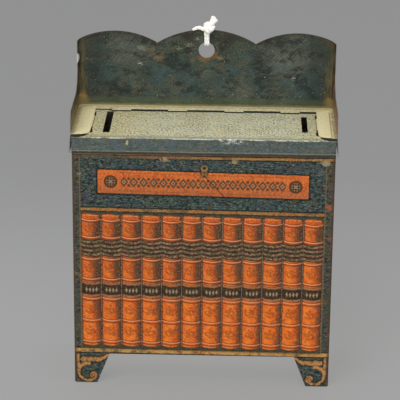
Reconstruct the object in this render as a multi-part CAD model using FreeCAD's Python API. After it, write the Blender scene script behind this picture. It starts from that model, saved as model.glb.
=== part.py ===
import FreeCAD, Part
import math
import os

# Tin money box in the form of a small bookcase, folded from tinplate.
# The front looks along -Y, +Z is up, and the origin lies between the feet, on the floor.
# All sizes are in millimetres.

# Sheet and folds
SHEET = 0.3
HEM = 3.0

# Body: a wrap for the front and the sides, a back panel and a bottom pan
BODY_WIDTH = 110.0
BODY_DEPTH = 42.0
BODY_HEIGHT = 112.2
CORNER_RADIUS = 1.2
REAR_FLANGE = 6.0
PAN_FLANGE = 5.0

# Bracket feet, left standing where the lower edge of each wall is cut away
RAIL_HEIGHT = 13.8
FOOT_TOE = 9.8
FOOT_KNEE = 15.2
SIDE_FOOT_TOE = 7.5
SIDE_FOOT_KNEE = 12.0

# Slip-on lid
LID_CLEARANCE = 0.3
SKIRT_HEIGHT = 7.2
SIDE_SKIRT_SPLAY = 4.0
COIN_SLOT_BACK = 22.1
LARGE_SLOT_INSET = 14.6
LARGE_SLOT_LENGTH = 28.6
LARGE_SLOT_WIDTH = 2.7
SMALL_SLOT_INSET = 13.4
SMALL_SLOT_LENGTH = 21.0
SMALL_SLOT_WIDTH = 2.3

# Gallery: the scalloped splash with its two wings, clinched to the lid by tabs
CREST_HEIGHT = 35.1
SIDE_PEAK_HEIGHT = 34.0
VALLEY_HEIGHT = 29.0
SPLASH_CORNER_HEIGHT = 30.0
VALLEY_REACH = 21.2
GALLERY_BEND = 3.0
HANG_HOLE_DIAMETER = 6.9
HANG_HOLE_HEIGHT = 26.0
WING_STRIP = 4.2
WING_SWEEP_RADIUS = 10.8
WING_RAIL_HEIGHT = 9.5
WING_NOSE_RADIUS = 3.2
WING_SETBACK = 3.0
BACK_FLANGE = 4.6
SIDE_FLANGE = 7.9
FLANGE_NOSE_RADIUS = 4.5
MITRE_GAP = 0.3
BACK_TAB_COUNT = 4
BACK_TAB_PITCH = 24.3
BACK_TAB_WIDTH = 8.2
BACK_TAB_REACH = 1.8
SIDE_TAB_WIDTH = 15.6
SIDE_TAB_REACH = 0.5
SIDE_SLIT_LENGTH = 27.7
TAB_CLINCH = 3.5
TAB_CLEARANCE = 0.2
SNUG_TAB_CLEARANCE = 0.05

# String tied through the hang hole
STRING_DIAMETER = 1.1
STRING_CLEARANCE = 0.2
STRAND_SPACING = 1.6
KNOT_WIDTH = 4.9
KNOT_HEIGHT = 3.6
KNOT_BELLY_HEIGHT = 1.45
KNOT_SHOULDER_WIDTH = 3.0
KNOT_SHOULDER_HEIGHT = 3.25
LEFT_TAIL = 2.5
LEFT_TAIL_DROOP = 50.0
RIGHT_TAIL = 3.6
RIGHT_TAIL_RISE = 57.0
RIGHT_TAIL_DROOP = 25.0
TAIL_BEND = 3.2

# Sizes that follow from those above
HALF_WIDTH = BODY_WIDTH / 2
HALF_DEPTH = BODY_DEPTH / 2
LID_TOP = BODY_HEIGHT + SHEET
LID_GROWTH = LID_CLEARANCE + SHEET
# Outside radius of the base folds: inside, they are no rounder than the lid's clearance,
# so the lid sits flat on the edge of the body.
FOLD_RADIUS = LID_GROWTH
LID_HALF_WIDTH = HALF_WIDTH + LID_GROWTH
LID_HALF_DEPTH = HALF_DEPTH + LID_GROWTH
COIN_SLOT_Y = LID_HALF_DEPTH - COIN_SLOT_BACK
TAB_FOLD_RADIUS = 1.5 * SHEET
WING_FRONT_Y = WING_SETBACK - LID_HALF_DEPTH
SPLASH_MIDDLE_Y = LID_HALF_DEPTH - SHEET / 2
CREST_Z = LID_TOP + CREST_HEIGHT
STRING_RADIUS = STRING_DIAMETER / 2

UP = FreeCAD.Vector(0, 0, 1)


def plan(x, y, z=0.0):
    return FreeCAD.Vector(x, y, z)


def side_view(y, z):
    return FreeCAD.Vector(0, y, z)


def front_view(x, z):
    return FreeCAD.Vector(x, 0, z)


def span_box(low, high):
    """Box between two opposite corners."""
    size = high - low
    return Part.makeBox(size.x, size.y, size.z, low)


def line(start, end):
    return Part.LineSegment(start, end).toShape()


def arc(start, middle, end):
    return Part.Arc(start, middle, end).toShape()


def face_of(edges):
    return Part.Face(Part.Wire(Part.sortEdges(edges)[0]))


def polygon(points):
    return Part.Face(Part.makePolygon(points + points[:1]))


def corner_arc(before, corner, after, radius):
    """Start, middle and end of the arc that rounds a corner."""
    back = (before - corner).normalize()
    ahead = (after - corner).normalize()
    half_angle = back.getAngle(ahead) / 2
    inward = (back + ahead).normalize()
    reach = radius / math.tan(half_angle)
    centre = corner + inward * (radius / math.sin(half_angle))
    return corner + back * reach, centre - inward * radius, corner + ahead * reach


def rounded_run(points, radius):
    """Edges along a run of points, with every corner between them rounded."""
    edges = []
    start = points[0]
    for before, corner, after in zip(points, points[1:], points[2:]):
        first, middle, last = corner_arc(before, corner, after, radius)
        if start.distanceToPoint(first) > 1e-6:
            edges.append(line(start, first))
        edges.append(arc(first, middle, last))
        start = last
    edges.append(line(start, points[-1]))
    return edges


def shift_left(points, normal, distance):
    """The run of points moved to its left, as seen with the normal towards the eye."""
    lefts = [normal.cross(b - a).normalize() for a, b in zip(points, points[1:])]
    moved = [points[0] + lefts[0] * distance]
    for corner, one, two in zip(points[1:], lefts, lefts[1:]):
        moved.append(corner + (one + two) * (distance / (1 + one.dot(two))))
    moved.append(points[-1] + lefts[-1] * distance)
    return moved


def folded_section(points, radius, normal):
    """Section of a folded sheet: the points follow its outer face and turn left at every fold."""
    inner = shift_left(points, normal, SHEET)
    ends = [line(points[0], inner[0]), line(points[-1], inner[-1])]
    return face_of(rounded_run(points, radius) + rounded_run(inner, radius - SHEET) + ends)


def folded_tray(width, depth, leg, notch, splay):
    """Plate with its top at z = 0 and four legs folded down, open at the corners.
    The two legs on X stand out by the splay angle."""
    inset = FOLD_RADIUS
    tray = span_box(
        plan(inset - width / 2, inset - depth / 2, -SHEET), plan(width / 2 - inset, depth / 2 - inset)
    )
    legs = [(0, width / 2, depth, splay), (90, depth / 2, width, 0.0)]
    for turn, reach, length, angle in legs:
        foot = front_view(reach + leg * math.tan(math.radians(angle)), -leg)
        points = [foot, front_view(reach, 0), front_view(reach - 2 * FOLD_RADIUS, 0)]
        section = folded_section(points, FOLD_RADIUS, plan(0, -1))
        section.translate(plan(0, notch - length / 2))
        flap = section.extrude(plan(0, length - 2 * notch))
        for half_turn in (0, 180):
            placed = flap.copy()
            placed.rotate(plan(0, 0), UP, turn + half_turn)
            tray = tray.fuse(placed)
    return tray.removeSplitter()


def front_opening():
    """What is cut away between the feet of the front and of the back."""
    toe = HALF_WIDTH - FOOT_TOE
    knee = HALF_WIDTH - FOOT_KNEE
    outline = [(-toe, 0), (-knee, RAIL_HEIGHT), (knee, RAIL_HEIGHT), (toe, 0)]
    face = polygon([plan(x, -BODY_DEPTH, z) for x, z in outline])
    return face.extrude(plan(0, 2 * BODY_DEPTH))


def side_opening():
    """What is cut away between the feet of the two sides."""
    toe = HALF_DEPTH - SIDE_FOOT_TOE
    knee = HALF_DEPTH - SIDE_FOOT_KNEE
    outline = [(-toe, 0), (-knee, RAIL_HEIGHT), (knee, RAIL_HEIGHT), (toe, 0)]
    face = polygon([plan(-BODY_WIDTH, y, z) for y, z in outline])
    return face.extrude(plan(2 * BODY_WIDTH, 0))


def front_and_sides():
    """Front and sides folded from one strip, with flanges turned in at the back and a hem on top."""
    flange_y = HALF_DEPTH - SHEET
    run = [
        plan(REAR_FLANGE - HALF_WIDTH, flange_y),
        plan(-HALF_WIDTH, flange_y),
        plan(-HALF_WIDTH, -HALF_DEPTH),
        plan(HALF_WIDTH, -HALF_DEPTH),
        plan(HALF_WIDTH, flange_y),
        plan(HALF_WIDTH - REAR_FLANGE, flange_y),
    ]
    wall = folded_section(run, CORNER_RADIUS, UP).extrude(UP * BODY_HEIGHT)
    hem_x = HALF_WIDTH - SHEET
    hem_y = flange_y - CORNER_RADIUS
    hem_run = [
        plan(-hem_x, hem_y),
        plan(-hem_x, SHEET - HALF_DEPTH),
        plan(hem_x, SHEET - HALF_DEPTH),
        plan(hem_x, hem_y),
    ]
    hem = folded_section(hem_run, CORNER_RADIUS - SHEET, UP).extrude(UP * HEM)
    hem.translate(UP * (BODY_HEIGHT - HEM))
    return wall.fuse(hem).cut(front_opening()).cut(side_opening()).removeSplitter()


def back_panel():
    """Flat back, lapped on the flanges of the wrap, with the same feet as the front."""
    reach = HALF_WIDTH - CORNER_RADIUS
    panel = span_box(plan(-reach, HALF_DEPTH - SHEET), plan(reach, HALF_DEPTH, BODY_HEIGHT))
    hem_reach = HALF_WIDTH - REAR_FLANGE - LID_CLEARANCE
    hem = span_box(
        plan(-hem_reach, HALF_DEPTH - 2 * SHEET, BODY_HEIGHT - HEM),
        plan(hem_reach, HALF_DEPTH - SHEET, BODY_HEIGHT),
    )
    return panel.fuse(hem).cut(front_opening()).removeSplitter()


def bottom_plate():
    """Pan that closes the body at the level of the rails, with its flanges turned up inside."""
    width = BODY_WIDTH - 2 * SHEET
    depth = BODY_DEPTH - 3 * SHEET
    pan = folded_tray(width, depth, PAN_FLANGE, CORNER_RADIUS, 0.0)
    pan.rotate(plan(0, 0), plan(1, 0), 180)
    pan.translate(plan(0, -SHEET / 2, RAIL_HEIGHT))
    return pan


def back_tab_places():
    """Middle of each back tab along X."""
    first = -BACK_TAB_PITCH * (BACK_TAB_COUNT - 1) / 2
    return [first + BACK_TAB_PITCH * index for index in range(BACK_TAB_COUNT)]


def tab_slits():
    """Slits in the lid that the tabs of the gallery pass through. A side slit is longer than its tab
    and closes up on the outside of the fold."""
    cut_low = LID_TOP - 2 * SHEET
    cut_high = LID_TOP + SHEET
    tab_y = LID_HALF_DEPTH - BACK_FLANGE - BACK_TAB_REACH
    tab_x = LID_HALF_WIDTH - SIDE_FLANGE - SIDE_TAB_REACH
    slits = []
    for middle in back_tab_places():
        half = BACK_TAB_WIDTH / 2 + TAB_CLEARANCE
        slits.append(
            span_box(
                plan(middle - half, tab_y - TAB_CLEARANCE, cut_low),
                plan(middle + half, tab_y + SHEET + TAB_CLEARANCE, cut_high),
            )
        )
    tab_end = SIDE_TAB_WIDTH / 2
    slit_end = SIDE_SLIT_LENGTH / 2
    stretches = [
        (-slit_end, -tab_end, TAB_CLEARANCE),
        (-tab_end, tab_end, SNUG_TAB_CLEARANCE),
        (tab_end, slit_end, TAB_CLEARANCE),
    ]
    for sign in (-1, 1):
        for start, end, clearance in stretches:
            near = sign * (tab_x - clearance)
            far = sign * (tab_x + SHEET + TAB_CLEARANCE)
            slits.append(
                span_box(
                    plan(min(near, far), COIN_SLOT_Y + start, cut_low),
                    plan(max(near, far), COIN_SLOT_Y + end, cut_high),
                )
            )
    return slits


def coin_slot(middle_x, width, length):
    return span_box(
        plan(middle_x - width / 2, COIN_SLOT_Y - length / 2, LID_TOP - 2 * SHEET),
        plan(middle_x + width / 2, COIN_SLOT_Y + length / 2, LID_TOP + SHEET),
    )


def lid():
    """Slip-on lid with two coin slots, resting on the top edge of the body."""
    shape = folded_tray(
        2 * LID_HALF_WIDTH, 2 * LID_HALF_DEPTH, SKIRT_HEIGHT, FOLD_RADIUS, SIDE_SKIRT_SPLAY
    )
    shape.translate(UP * LID_TOP)
    shape = shape.cut(coin_slot(LARGE_SLOT_INSET - LID_HALF_WIDTH, LARGE_SLOT_WIDTH, LARGE_SLOT_LENGTH))
    shape = shape.cut(coin_slot(LID_HALF_WIDTH - SMALL_SLOT_INSET, SMALL_SLOT_WIDTH, SMALL_SLOT_LENGTH))
    for slit in tab_slits():
        shape = shape.cut(slit)
    return shape


def gallery_block(inset, top):
    """Solid that the gallery's outer (inset 0) or inner (inset one sheet) faces enclose."""
    reach = LID_HALF_WIDTH - inset
    back = LID_HALF_DEPTH - inset
    front = WING_FRONT_Y - inset
    low = LID_TOP + inset
    run = [plan(-reach, front, low), plan(-reach, back, low), plan(reach, back, low), plan(reach, front, low)]
    edges = rounded_run(run, GALLERY_BEND - inset) + [line(run[0], run[-1])]
    block = face_of(edges).extrude(UP * (top - low))
    folds = [
        edge
        for edge in block.Edges
        if abs(edge.BoundBox.ZMax - low) < 1e-6 and edge.BoundBox.YMax > front + 1e-3
    ]
    return block.makeFillet(FOLD_RADIUS - inset, folds)


def scallop_waste(top):
    """What is cut away above the three scallops of the splash."""
    edge_x = LID_HALF_WIDTH
    peak_x = (edge_x + VALLEY_REACH) / 2

    def at(x, height):
        return plan(x, -LID_HALF_DEPTH, LID_TOP + height)

    left = at(-edge_x, SPLASH_CORNER_HEIGHT)
    right = at(edge_x, SPLASH_CORNER_HEIGHT)
    left_valley = at(-VALLEY_REACH, VALLEY_HEIGHT)
    right_valley = at(VALLEY_REACH, VALLEY_HEIGHT)
    ceiling = top - LID_TOP + SHEET
    edges = [
        arc(left, at(-peak_x, SIDE_PEAK_HEIGHT), left_valley),
        arc(left_valley, at(0, CREST_HEIGHT), right_valley),
        arc(right_valley, at(peak_x, SIDE_PEAK_HEIGHT), right),
        line(right, at(edge_x, ceiling)),
        line(at(edge_x, ceiling), at(-edge_x, ceiling)),
        line(at(-edge_x, ceiling), left),
    ]
    return face_of(edges).extrude(plan(0, 2 * LID_HALF_DEPTH))


def wing_waste(top):
    """What is cut away in front of the narrow strip and above the low rail of each wing."""
    strip_y = LID_HALF_DEPTH - WING_STRIP
    rail_z = LID_TOP + WING_RAIL_HEIGHT
    nose_z = rail_z - WING_NOSE_RADIUS
    nose_y = WING_FRONT_Y + WING_NOSE_RADIUS
    lean = 1 - math.sqrt(0.5)
    outer_y = WING_FRONT_Y - SHEET
    sweep_y = strip_y - WING_SWEEP_RADIUS
    sweep_z = rail_z + WING_SWEEP_RADIUS
    strip_top = side_view(strip_y, top + SHEET)
    sweep_top = side_view(strip_y, sweep_z)
    sweep_middle = side_view(
        strip_y - WING_SWEEP_RADIUS * lean, rail_z + WING_SWEEP_RADIUS * lean
    )
    sweep_foot = side_view(sweep_y, rail_z)
    nose_top = side_view(nose_y, rail_z)
    nose_middle = side_view(
        WING_FRONT_Y + WING_NOSE_RADIUS * lean, rail_z - WING_NOSE_RADIUS * lean
    )
    nose_foot = side_view(WING_FRONT_Y, nose_z)
    corner_low = side_view(outer_y, nose_z)
    corner_high = side_view(outer_y, top + SHEET)
    edges = [
        line(strip_top, sweep_top),
        arc(sweep_top, sweep_middle, sweep_foot),
        line(sweep_foot, nose_top),
        arc(nose_top, nose_middle, nose_foot),
        line(nose_foot, corner_low),
        line(corner_low, corner_high),
        line(corner_high, strip_top),
    ]
    face = face_of(edges)
    face.translate(plan(-BODY_WIDTH, 0))
    return face.extrude(plan(2 * BODY_WIDTH, 0))


def flange_window():
    """The middle of the gallery's floor, which leaves only its flanges on the lid."""
    side_x = LID_HALF_WIDTH - SIDE_FLANGE
    back_y = LID_HALF_DEPTH - BACK_FLANGE
    nose_x = side_x + FLANGE_NOSE_RADIUS
    nose_y = WING_FRONT_Y + FLANGE_NOSE_RADIUS
    bulge = FLANGE_NOSE_RADIUS * math.sqrt(0.5)
    outer_y = WING_FRONT_Y - SHEET
    edges = [line(plan(-side_x, back_y), plan(side_x, back_y))]
    for sign in (-1, 1):
        inner = plan(sign * side_x, nose_y)
        middle = plan(sign * (nose_x - bulge), nose_y - bulge)
        front = plan(sign * nose_x, WING_FRONT_Y)
        outer = plan(sign * nose_x, outer_y)
        edges += [line(plan(sign * side_x, back_y), inner), arc(inner, middle, front), line(front, outer)]
    edges.append(line(plan(-nose_x, outer_y), plan(nose_x, outer_y)))
    window = face_of(edges).extrude(UP * (3 * SHEET))
    window.translate(UP * (LID_TOP - SHEET))
    return window


def mitre_slit(sign):
    """Slit between the back flange and a side flange, from the window to the corner's bend."""
    inner = plan(sign * (LID_HALF_WIDTH - SIDE_FLANGE), LID_HALF_DEPTH - BACK_FLANGE, LID_TOP - SHEET)
    outer = plan(sign * (LID_HALF_WIDTH - GALLERY_BEND), LID_HALF_DEPTH - GALLERY_BEND / 2, LID_TOP - SHEET)
    along = (outer - inner).normalize()
    across = UP.cross(along) * (MITRE_GAP / 2)
    start = inner - along * SHEET
    outline = [start + across, start - across, outer - across, outer + across]
    return polygon(outline).extrude(UP * (3 * SHEET))


def clinched_tab(edge, fold, width):
    """Tab that leaves a flange at the edge, goes down through the lid at the fold and is bent back
    under it. It is drawn in the YZ plane, with its width along X."""
    over = LID_TOP + SHEET
    under = LID_TOP - 2 * SHEET
    points = [
        side_view(edge, over),
        side_view(fold, over),
        side_view(fold, under),
        side_view(fold + TAB_CLINCH, under),
    ]
    section = folded_section(points, TAB_FOLD_RADIUS, plan(1, 0))
    section.translate(plan(-width / 2, 0))
    return section.extrude(plan(width, 0))


def gallery():
    """Scalloped splash and wings with flanges on the lid and tabs clinched under it."""
    top = CREST_Z + SHEET
    shape = gallery_block(0.0, top).cut(gallery_block(SHEET, top + SHEET))
    shape = shape.cut(flange_window()).cut(scallop_waste(top)).cut(wing_waste(top))
    shape = shape.cut(mitre_slit(-1)).cut(mitre_slit(1))
    hole = Part.makeCylinder(
        HANG_HOLE_DIAMETER / 2,
        4 * SHEET,
        plan(0, SPLASH_MIDDLE_Y - 2 * SHEET, LID_TOP + HANG_HOLE_HEIGHT),
        plan(0, 1),
    )
    shape = shape.cut(hole)
    flange_y = LID_HALF_DEPTH - BACK_FLANGE
    back_tab = clinched_tab(flange_y + SHEET, flange_y - BACK_TAB_REACH, BACK_TAB_WIDTH)
    for middle in back_tab_places():
        placed = back_tab.copy()
        placed.translate(plan(middle, 0))
        shape = shape.fuse(placed)
    flange_x = LID_HALF_WIDTH - SIDE_FLANGE
    side_tab = clinched_tab(flange_x + SHEET, flange_x - SIDE_TAB_REACH, SIDE_TAB_WIDTH)
    for turn in (90, -90):
        placed = side_tab.copy()
        placed.rotate(plan(0, 0), UP, turn)
        placed.translate(plan(0, COIN_SLOT_Y))
        shape = shape.fuse(placed)
    return shape.removeSplitter()


def string_disc(centre, heading):
    """Section of the string, square to its heading."""
    return Part.Face(Part.Wire([Part.makeCircle(STRING_RADIUS, centre, heading)]))


def string_strands():
    """The doubled string: each strand goes down in front, through the hang hole and up behind."""
    turn_radius = SHEET / 2 + STRING_CLEARANCE + STRING_RADIUS
    reach = STRAND_SPACING / 2 + STRING_RADIUS
    hole_radius = HANG_HOLE_DIAMETER / 2
    hole_edge = LID_TOP + HANG_HOLE_HEIGHT + math.sqrt(hole_radius**2 - reach**2)
    turn_z = hole_edge - STRING_CLEARANCE - STRING_RADIUS + turn_radius
    drop = UP * (turn_z - CREST_Z - STRING_CLEARANCE)
    strands = []
    for x in (-STRAND_SPACING / 2, STRAND_SPACING / 2):
        front = string_disc(plan(x, SPLASH_MIDDLE_Y - turn_radius, turn_z), UP)
        back = string_disc(plan(x, SPLASH_MIDDLE_Y + turn_radius, turn_z), UP)
        turn = front.revolve(plan(x, SPLASH_MIDDLE_Y, turn_z), plan(1, 0), 180)
        strand = turn.fuse(front.extrude(-drop)).fuse(back.extrude(-drop))
        strands.append(strand.removeSplitter())
    print("radius of the strands at the hole: %.2f mm" % turn_radius)
    print("least gap between the strands: %.2f mm" % (STRAND_SPACING - STRING_DIAMETER))
    return Part.makeCompound(strands)


def tail(start, heading, run, droop):
    """Loose end of the string: a straight run, then a bend that droops by the angle."""
    turn_axis = UP.cross(heading).normalize()
    bend_start = start + heading * run
    bend_centre = bend_start + turn_axis.cross(heading) * TAIL_BEND
    straight = string_disc(start, heading).extrude(heading * run)
    return straight.fuse(string_disc(bend_start, heading).revolve(bend_centre, turn_axis, droop))


def string_knot():
    """Knot on the crest of the splash, with the two loose ends of the string."""
    foot = front_view(STRAND_SPACING / 2 + STRING_DIAMETER, 0)
    belly = front_view(KNOT_WIDTH / 2, KNOT_BELLY_HEIGHT)
    shoulder = front_view(KNOT_SHOULDER_WIDTH / 2, KNOT_SHOULDER_HEIGHT)
    top = front_view(0, KNOT_HEIGHT)
    bottom = front_view(0, 0)
    profile = [line(bottom, foot), arc(foot, belly, shoulder), line(shoulder, top), line(top, bottom)]
    knot = face_of(profile).revolve(bottom, UP, 360)
    rise = math.radians(RIGHT_TAIL_RISE)
    core = front_view(0, KNOT_BELLY_HEIGHT)
    left = tail(core, plan(-1, 0), KNOT_WIDTH / 2 + LEFT_TAIL / 2, LEFT_TAIL_DROOP)
    right = tail(core, front_view(math.cos(rise), math.sin(rise)), RIGHT_TAIL, RIGHT_TAIL_DROOP)
    print("radius of the loose ends: %.2f mm" % TAIL_BEND)
    shape = knot.fuse(left).fuse(right)
    shape.translate(plan(0, SPLASH_MIDDLE_Y, CREST_Z + STRING_CLEARANCE))
    return shape


PIECES = (front_and_sides, back_panel, bottom_plate, lid, gallery, string_strands, string_knot)

os.makedirs("parts", exist_ok=True)
for piece in PIECES:
    shape = piece()
    shape.exportStep("parts/%s.step" % piece.__name__)
    print("%s: %d solid(s), valid %s, %.1f mm3" % (piece.__name__, len(shape.Solids), shape.isValid(), shape.Volume))
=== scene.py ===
import math

import bmesh
import bpy
from bpy.props import FloatProperty, FloatVectorProperty, IntProperty, PointerProperty
from mathutils import Matrix, Vector


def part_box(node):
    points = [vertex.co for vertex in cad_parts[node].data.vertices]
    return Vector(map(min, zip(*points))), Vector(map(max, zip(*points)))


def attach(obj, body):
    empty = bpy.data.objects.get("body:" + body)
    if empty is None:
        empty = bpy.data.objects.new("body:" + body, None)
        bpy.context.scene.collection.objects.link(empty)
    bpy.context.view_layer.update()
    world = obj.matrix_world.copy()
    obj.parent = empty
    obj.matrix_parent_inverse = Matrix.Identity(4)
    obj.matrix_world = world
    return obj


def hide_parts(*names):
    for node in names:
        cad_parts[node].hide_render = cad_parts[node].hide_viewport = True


bl_info = {
    "name": "Tin money box",
    "version": (1, 0, 0),
    "blender": (4, 5, 0),
    "location": "3D View > Sidebar > Money box",
    "description": "Printed tinplate finishes, cotton string and studio for a bookcase money box",
    "category": "Object",
}

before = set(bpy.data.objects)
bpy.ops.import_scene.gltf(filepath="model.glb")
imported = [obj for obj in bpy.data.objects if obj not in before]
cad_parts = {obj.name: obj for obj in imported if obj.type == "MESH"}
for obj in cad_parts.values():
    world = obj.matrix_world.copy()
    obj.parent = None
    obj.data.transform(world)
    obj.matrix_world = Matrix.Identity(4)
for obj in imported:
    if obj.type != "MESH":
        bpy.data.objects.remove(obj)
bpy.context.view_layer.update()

MM = 0.001


def box_mm(node):
    """Lowest and highest corner of a CAD node, in millimetres."""
    low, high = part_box(node)
    return low / MM, high / MM


BODY_LOW, BODY_HIGH = box_mm("front_and_sides")
LID_LOW, LID_HIGH = box_mm("lid")
GALLERY_LOW, GALLERY_HIGH = box_mm("gallery")

# Sheet sizes of the construction that the finishes have to know, in millimetres.
SHEET = 0.3
BODY_CORNER = 1.2
LID_FOLD = 0.6
SKIRT_SPLAY = math.radians(4.0)
GALLERY_BEND = 3.0
BACK_FLANGE = 4.6
SIDE_FLANGE = 7.9
TAB_PITCH = 24.3
TAB_WIDTH = 8.2
TAB_REACH = 1.8
FLANGE_NOSE = 4.5
COIN_SLOT_Y = -0.5
COIN_SLOTS = ((-41.0, 1.35, 14.3), (42.2, 1.15, 10.5))
CREST_TOP = GALLERY_HIGH.z
SIDE_TOP = LID_HIGH.z + 34.0
VALLEY_TOP = LID_HIGH.z + 29.0
VALLEY_REACH = 21.2
HANG_HOLE_Z = LID_HIGH.z + 26.0

# Rows of one printed book spine: lowest and highest level in millimetres above the floor, at mid width.
BOOK_RIDGES = (
    (74.3, 75.0), (66.6, 67.3), (56.8, 57.5), (47.6, 48.3), (38.4, 39.3), (28.3, 29.2), (18.5, 19.3),
)
BOOK_PANELS = ((67.6, 74.0), (48.8, 56.4), (29.7, 37.9), (19.8, 28.0))
BIG_LABEL = (58.3, 66.0)
SMALL_LABEL = (40.9, 45.4)
LABEL_SURROUND = (39.9, 46.7)
LABEL_RULES = 4.0
LABEL_LOZENGES = 6.0
BOOK_CAP = (75.5, 77.4)
BOOK_FOOT = 17.3
BOOK_HEAD = 77.8

# Worn spots on the front: place to the right, height, reach in millimetres and colour.
WEAR_MARKS = (
    (-16.2, 102.9, 1.1, (0.40, 0.32, 0.17)),
    (12.7, 102.2, 1.0, (0.42, 0.30, 0.12)),
    (50.8, 102.5, 1.5, (0.36, 0.33, 0.18)),
    (53.4, 82.9, 1.5, (0.44, 0.10, 0.035)),
    (54.0, 68.5, 1.0, (0.38, 0.09, 0.03)),
    (-54.2, 51.0, 0.8, (0.34, 0.22, 0.09)),
    (-52.0, 96.0, 0.7, (0.30, 0.24, 0.12)),
)

# Worn spots on the splash: place to the right, height, reach in millimetres and colour.
SPLASH_MARKS = (
    (-27.9, 139.0, 1.3, (0.185, 0.190, 0.135)),
    (-21.1, 134.9, 1.4, (0.200, 0.120, 0.062)),
    (-29.0, 132.1, 0.3, (0.420, 0.420, 0.340)),
    (-11.5, 139.1, 0.9, (0.165, 0.180, 0.130)),
    (-7.6, 140.8, 1.0, (0.180, 0.170, 0.115)),
    (-4.2, 143.7, 0.8, (0.220, 0.215, 0.150)),
    (5.6, 135.0, 1.2, (0.190, 0.150, 0.100)),
    (37.3, 126.5, 0.25, (0.380, 0.390, 0.330)),
)

# Blotches on the splash: seed, width in millimetres, noise where they start and are full, strength, colour.
SPLASH_BLOTCHES = (
    (43, 3.6, 0.50, 0.36, 0.72, (0.010, 0.014, 0.011)),
    (44, 3.4, 0.54, 0.72, 0.45, (0.044, 0.084, 0.080)),
    (45, 3.0, 0.56, 0.72, 0.50, (0.125, 0.092, 0.048)),
)


# Linear colours of shading and wear that stand beside the palette's.
# Cloth and bare tin
MOSSY_TEAL = (0.034, 0.078, 0.048)
DULL_TIN = (0.26, 0.24, 0.205)
BRIGHT_TIN = (0.52, 0.51, 0.48)
# Books
SHADE_FLECK = (0.32, 0.155, 0.080)
WARM_SHADE = (0.21, 0.055, 0.018)
SPRIG_RED = (0.225, 0.036, 0.010)
RIDGE_SHINE = (0.74, 0.36, 0.18)
HEAD_SHINE = (0.76, 0.34, 0.13)
OLIVE_RULE = (0.150, 0.120, 0.052)
TAN_RULE = (0.260, 0.150, 0.080)
RED_RULE = (0.250, 0.120, 0.072)
SURROUND_BROWN = (0.270, 0.110, 0.040)
# Plaque, border and rail
PALE_PLAQUE = (0.74, 0.27, 0.095)
PLAQUE_GRIME = (0.105, 0.080, 0.050)
BORDER_FILM = (0.050, 0.040, 0.026)
SHADOW_UNDER_SKIRT = (0.048, 0.032, 0.018)
BRIGHT_RAIL = (0.47, 0.275, 0.085)
DARK_RAIL = (0.075, 0.070, 0.034)
# Lid
COOL_CREAM = (0.43, 0.47, 0.38)
WARM_CREAM = (0.62, 0.54, 0.23)
RUBBED_SKIRT = (0.120, 0.148, 0.126)
BLUE_SKIRT = (0.085, 0.110, 0.140)
OLIVE_SKIRT = (0.120, 0.112, 0.076)
CREASE_STRIP = (0.170, 0.172, 0.120)
# Splash
SPLASH_DARK = (0.014, 0.019, 0.014)
SPLASH_LIGHT = (0.068, 0.088, 0.062)
SPLASH_BLUE = (0.034, 0.078, 0.088)
SPLASH_HAZE_AND_SHEEN = (0.108, 0.116, 0.098)
SPLASH_BLACK = (0.012, 0.016, 0.012)
SPLASH_BROWN = (0.105, 0.078, 0.034)
SCRATCH = (0.170, 0.180, 0.145)
SPLASH_SIDE_SHADOW = (0.020, 0.027, 0.022)
DARK_BEND = (0.060, 0.050, 0.021)
PALE_BEND = (0.145, 0.110, 0.042)
CORNER_RUST = (0.37, 0.225, 0.070)
RUST_SPECK = (0.185, 0.130, 0.068)
BASE_GREEN = (0.072, 0.096, 0.046)
BASE_STRAW = (0.200, 0.175, 0.075)
# Wings and flanges
PALE_FLANGE = (0.88, 0.80, 0.52)
DULL_FLANGE = (0.54, 0.45, 0.21)
FOLD_BROWN = (0.26, 0.190, 0.075)
SHADOW_BY_SPLASH = (0.36, 0.320, 0.165)
WING_RUST = (0.30, 0.195, 0.130)
CUT_EDGE = (0.052, 0.040, 0.024)
RED_EDGE = (0.24, 0.115, 0.075)
# String and floor
COTTON_SHADE = (0.90, 0.885, 0.835)
SOILED_COTTON = (0.66, 0.60, 0.48)
NO_GLOW = (0.0, 0.0, 0.0)


def length(title, text, millimetres):
    """A length that a user may change, stored in metres."""
    return FloatProperty(name=title, description=text, default=millimetres * MM, unit="LENGTH", precision=5)


def colour(title, text, red, green, blue):
    """A linear colour that a user may change."""
    return FloatVectorProperty(
        name=title, description=text, default=(red, green, blue), size=3, min=0.0, max=1.0, subtype="COLOR"
    )


def ratio(title, text, share):
    """A rise or a lean, as a share of the run, that a user may change."""
    return FloatProperty(name=title, description=text, default=share, precision=4)


def angle(title, text, degrees):
    """An angle that a user may change."""
    return FloatProperty(name=title, description=text, default=math.radians(degrees), subtype="ANGLE")


def power(title, text, watts):
    """The power of a lamp that a user may change."""
    return FloatProperty(name=title, description=text, default=watts, min=0.0, subtype="POWER")


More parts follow.
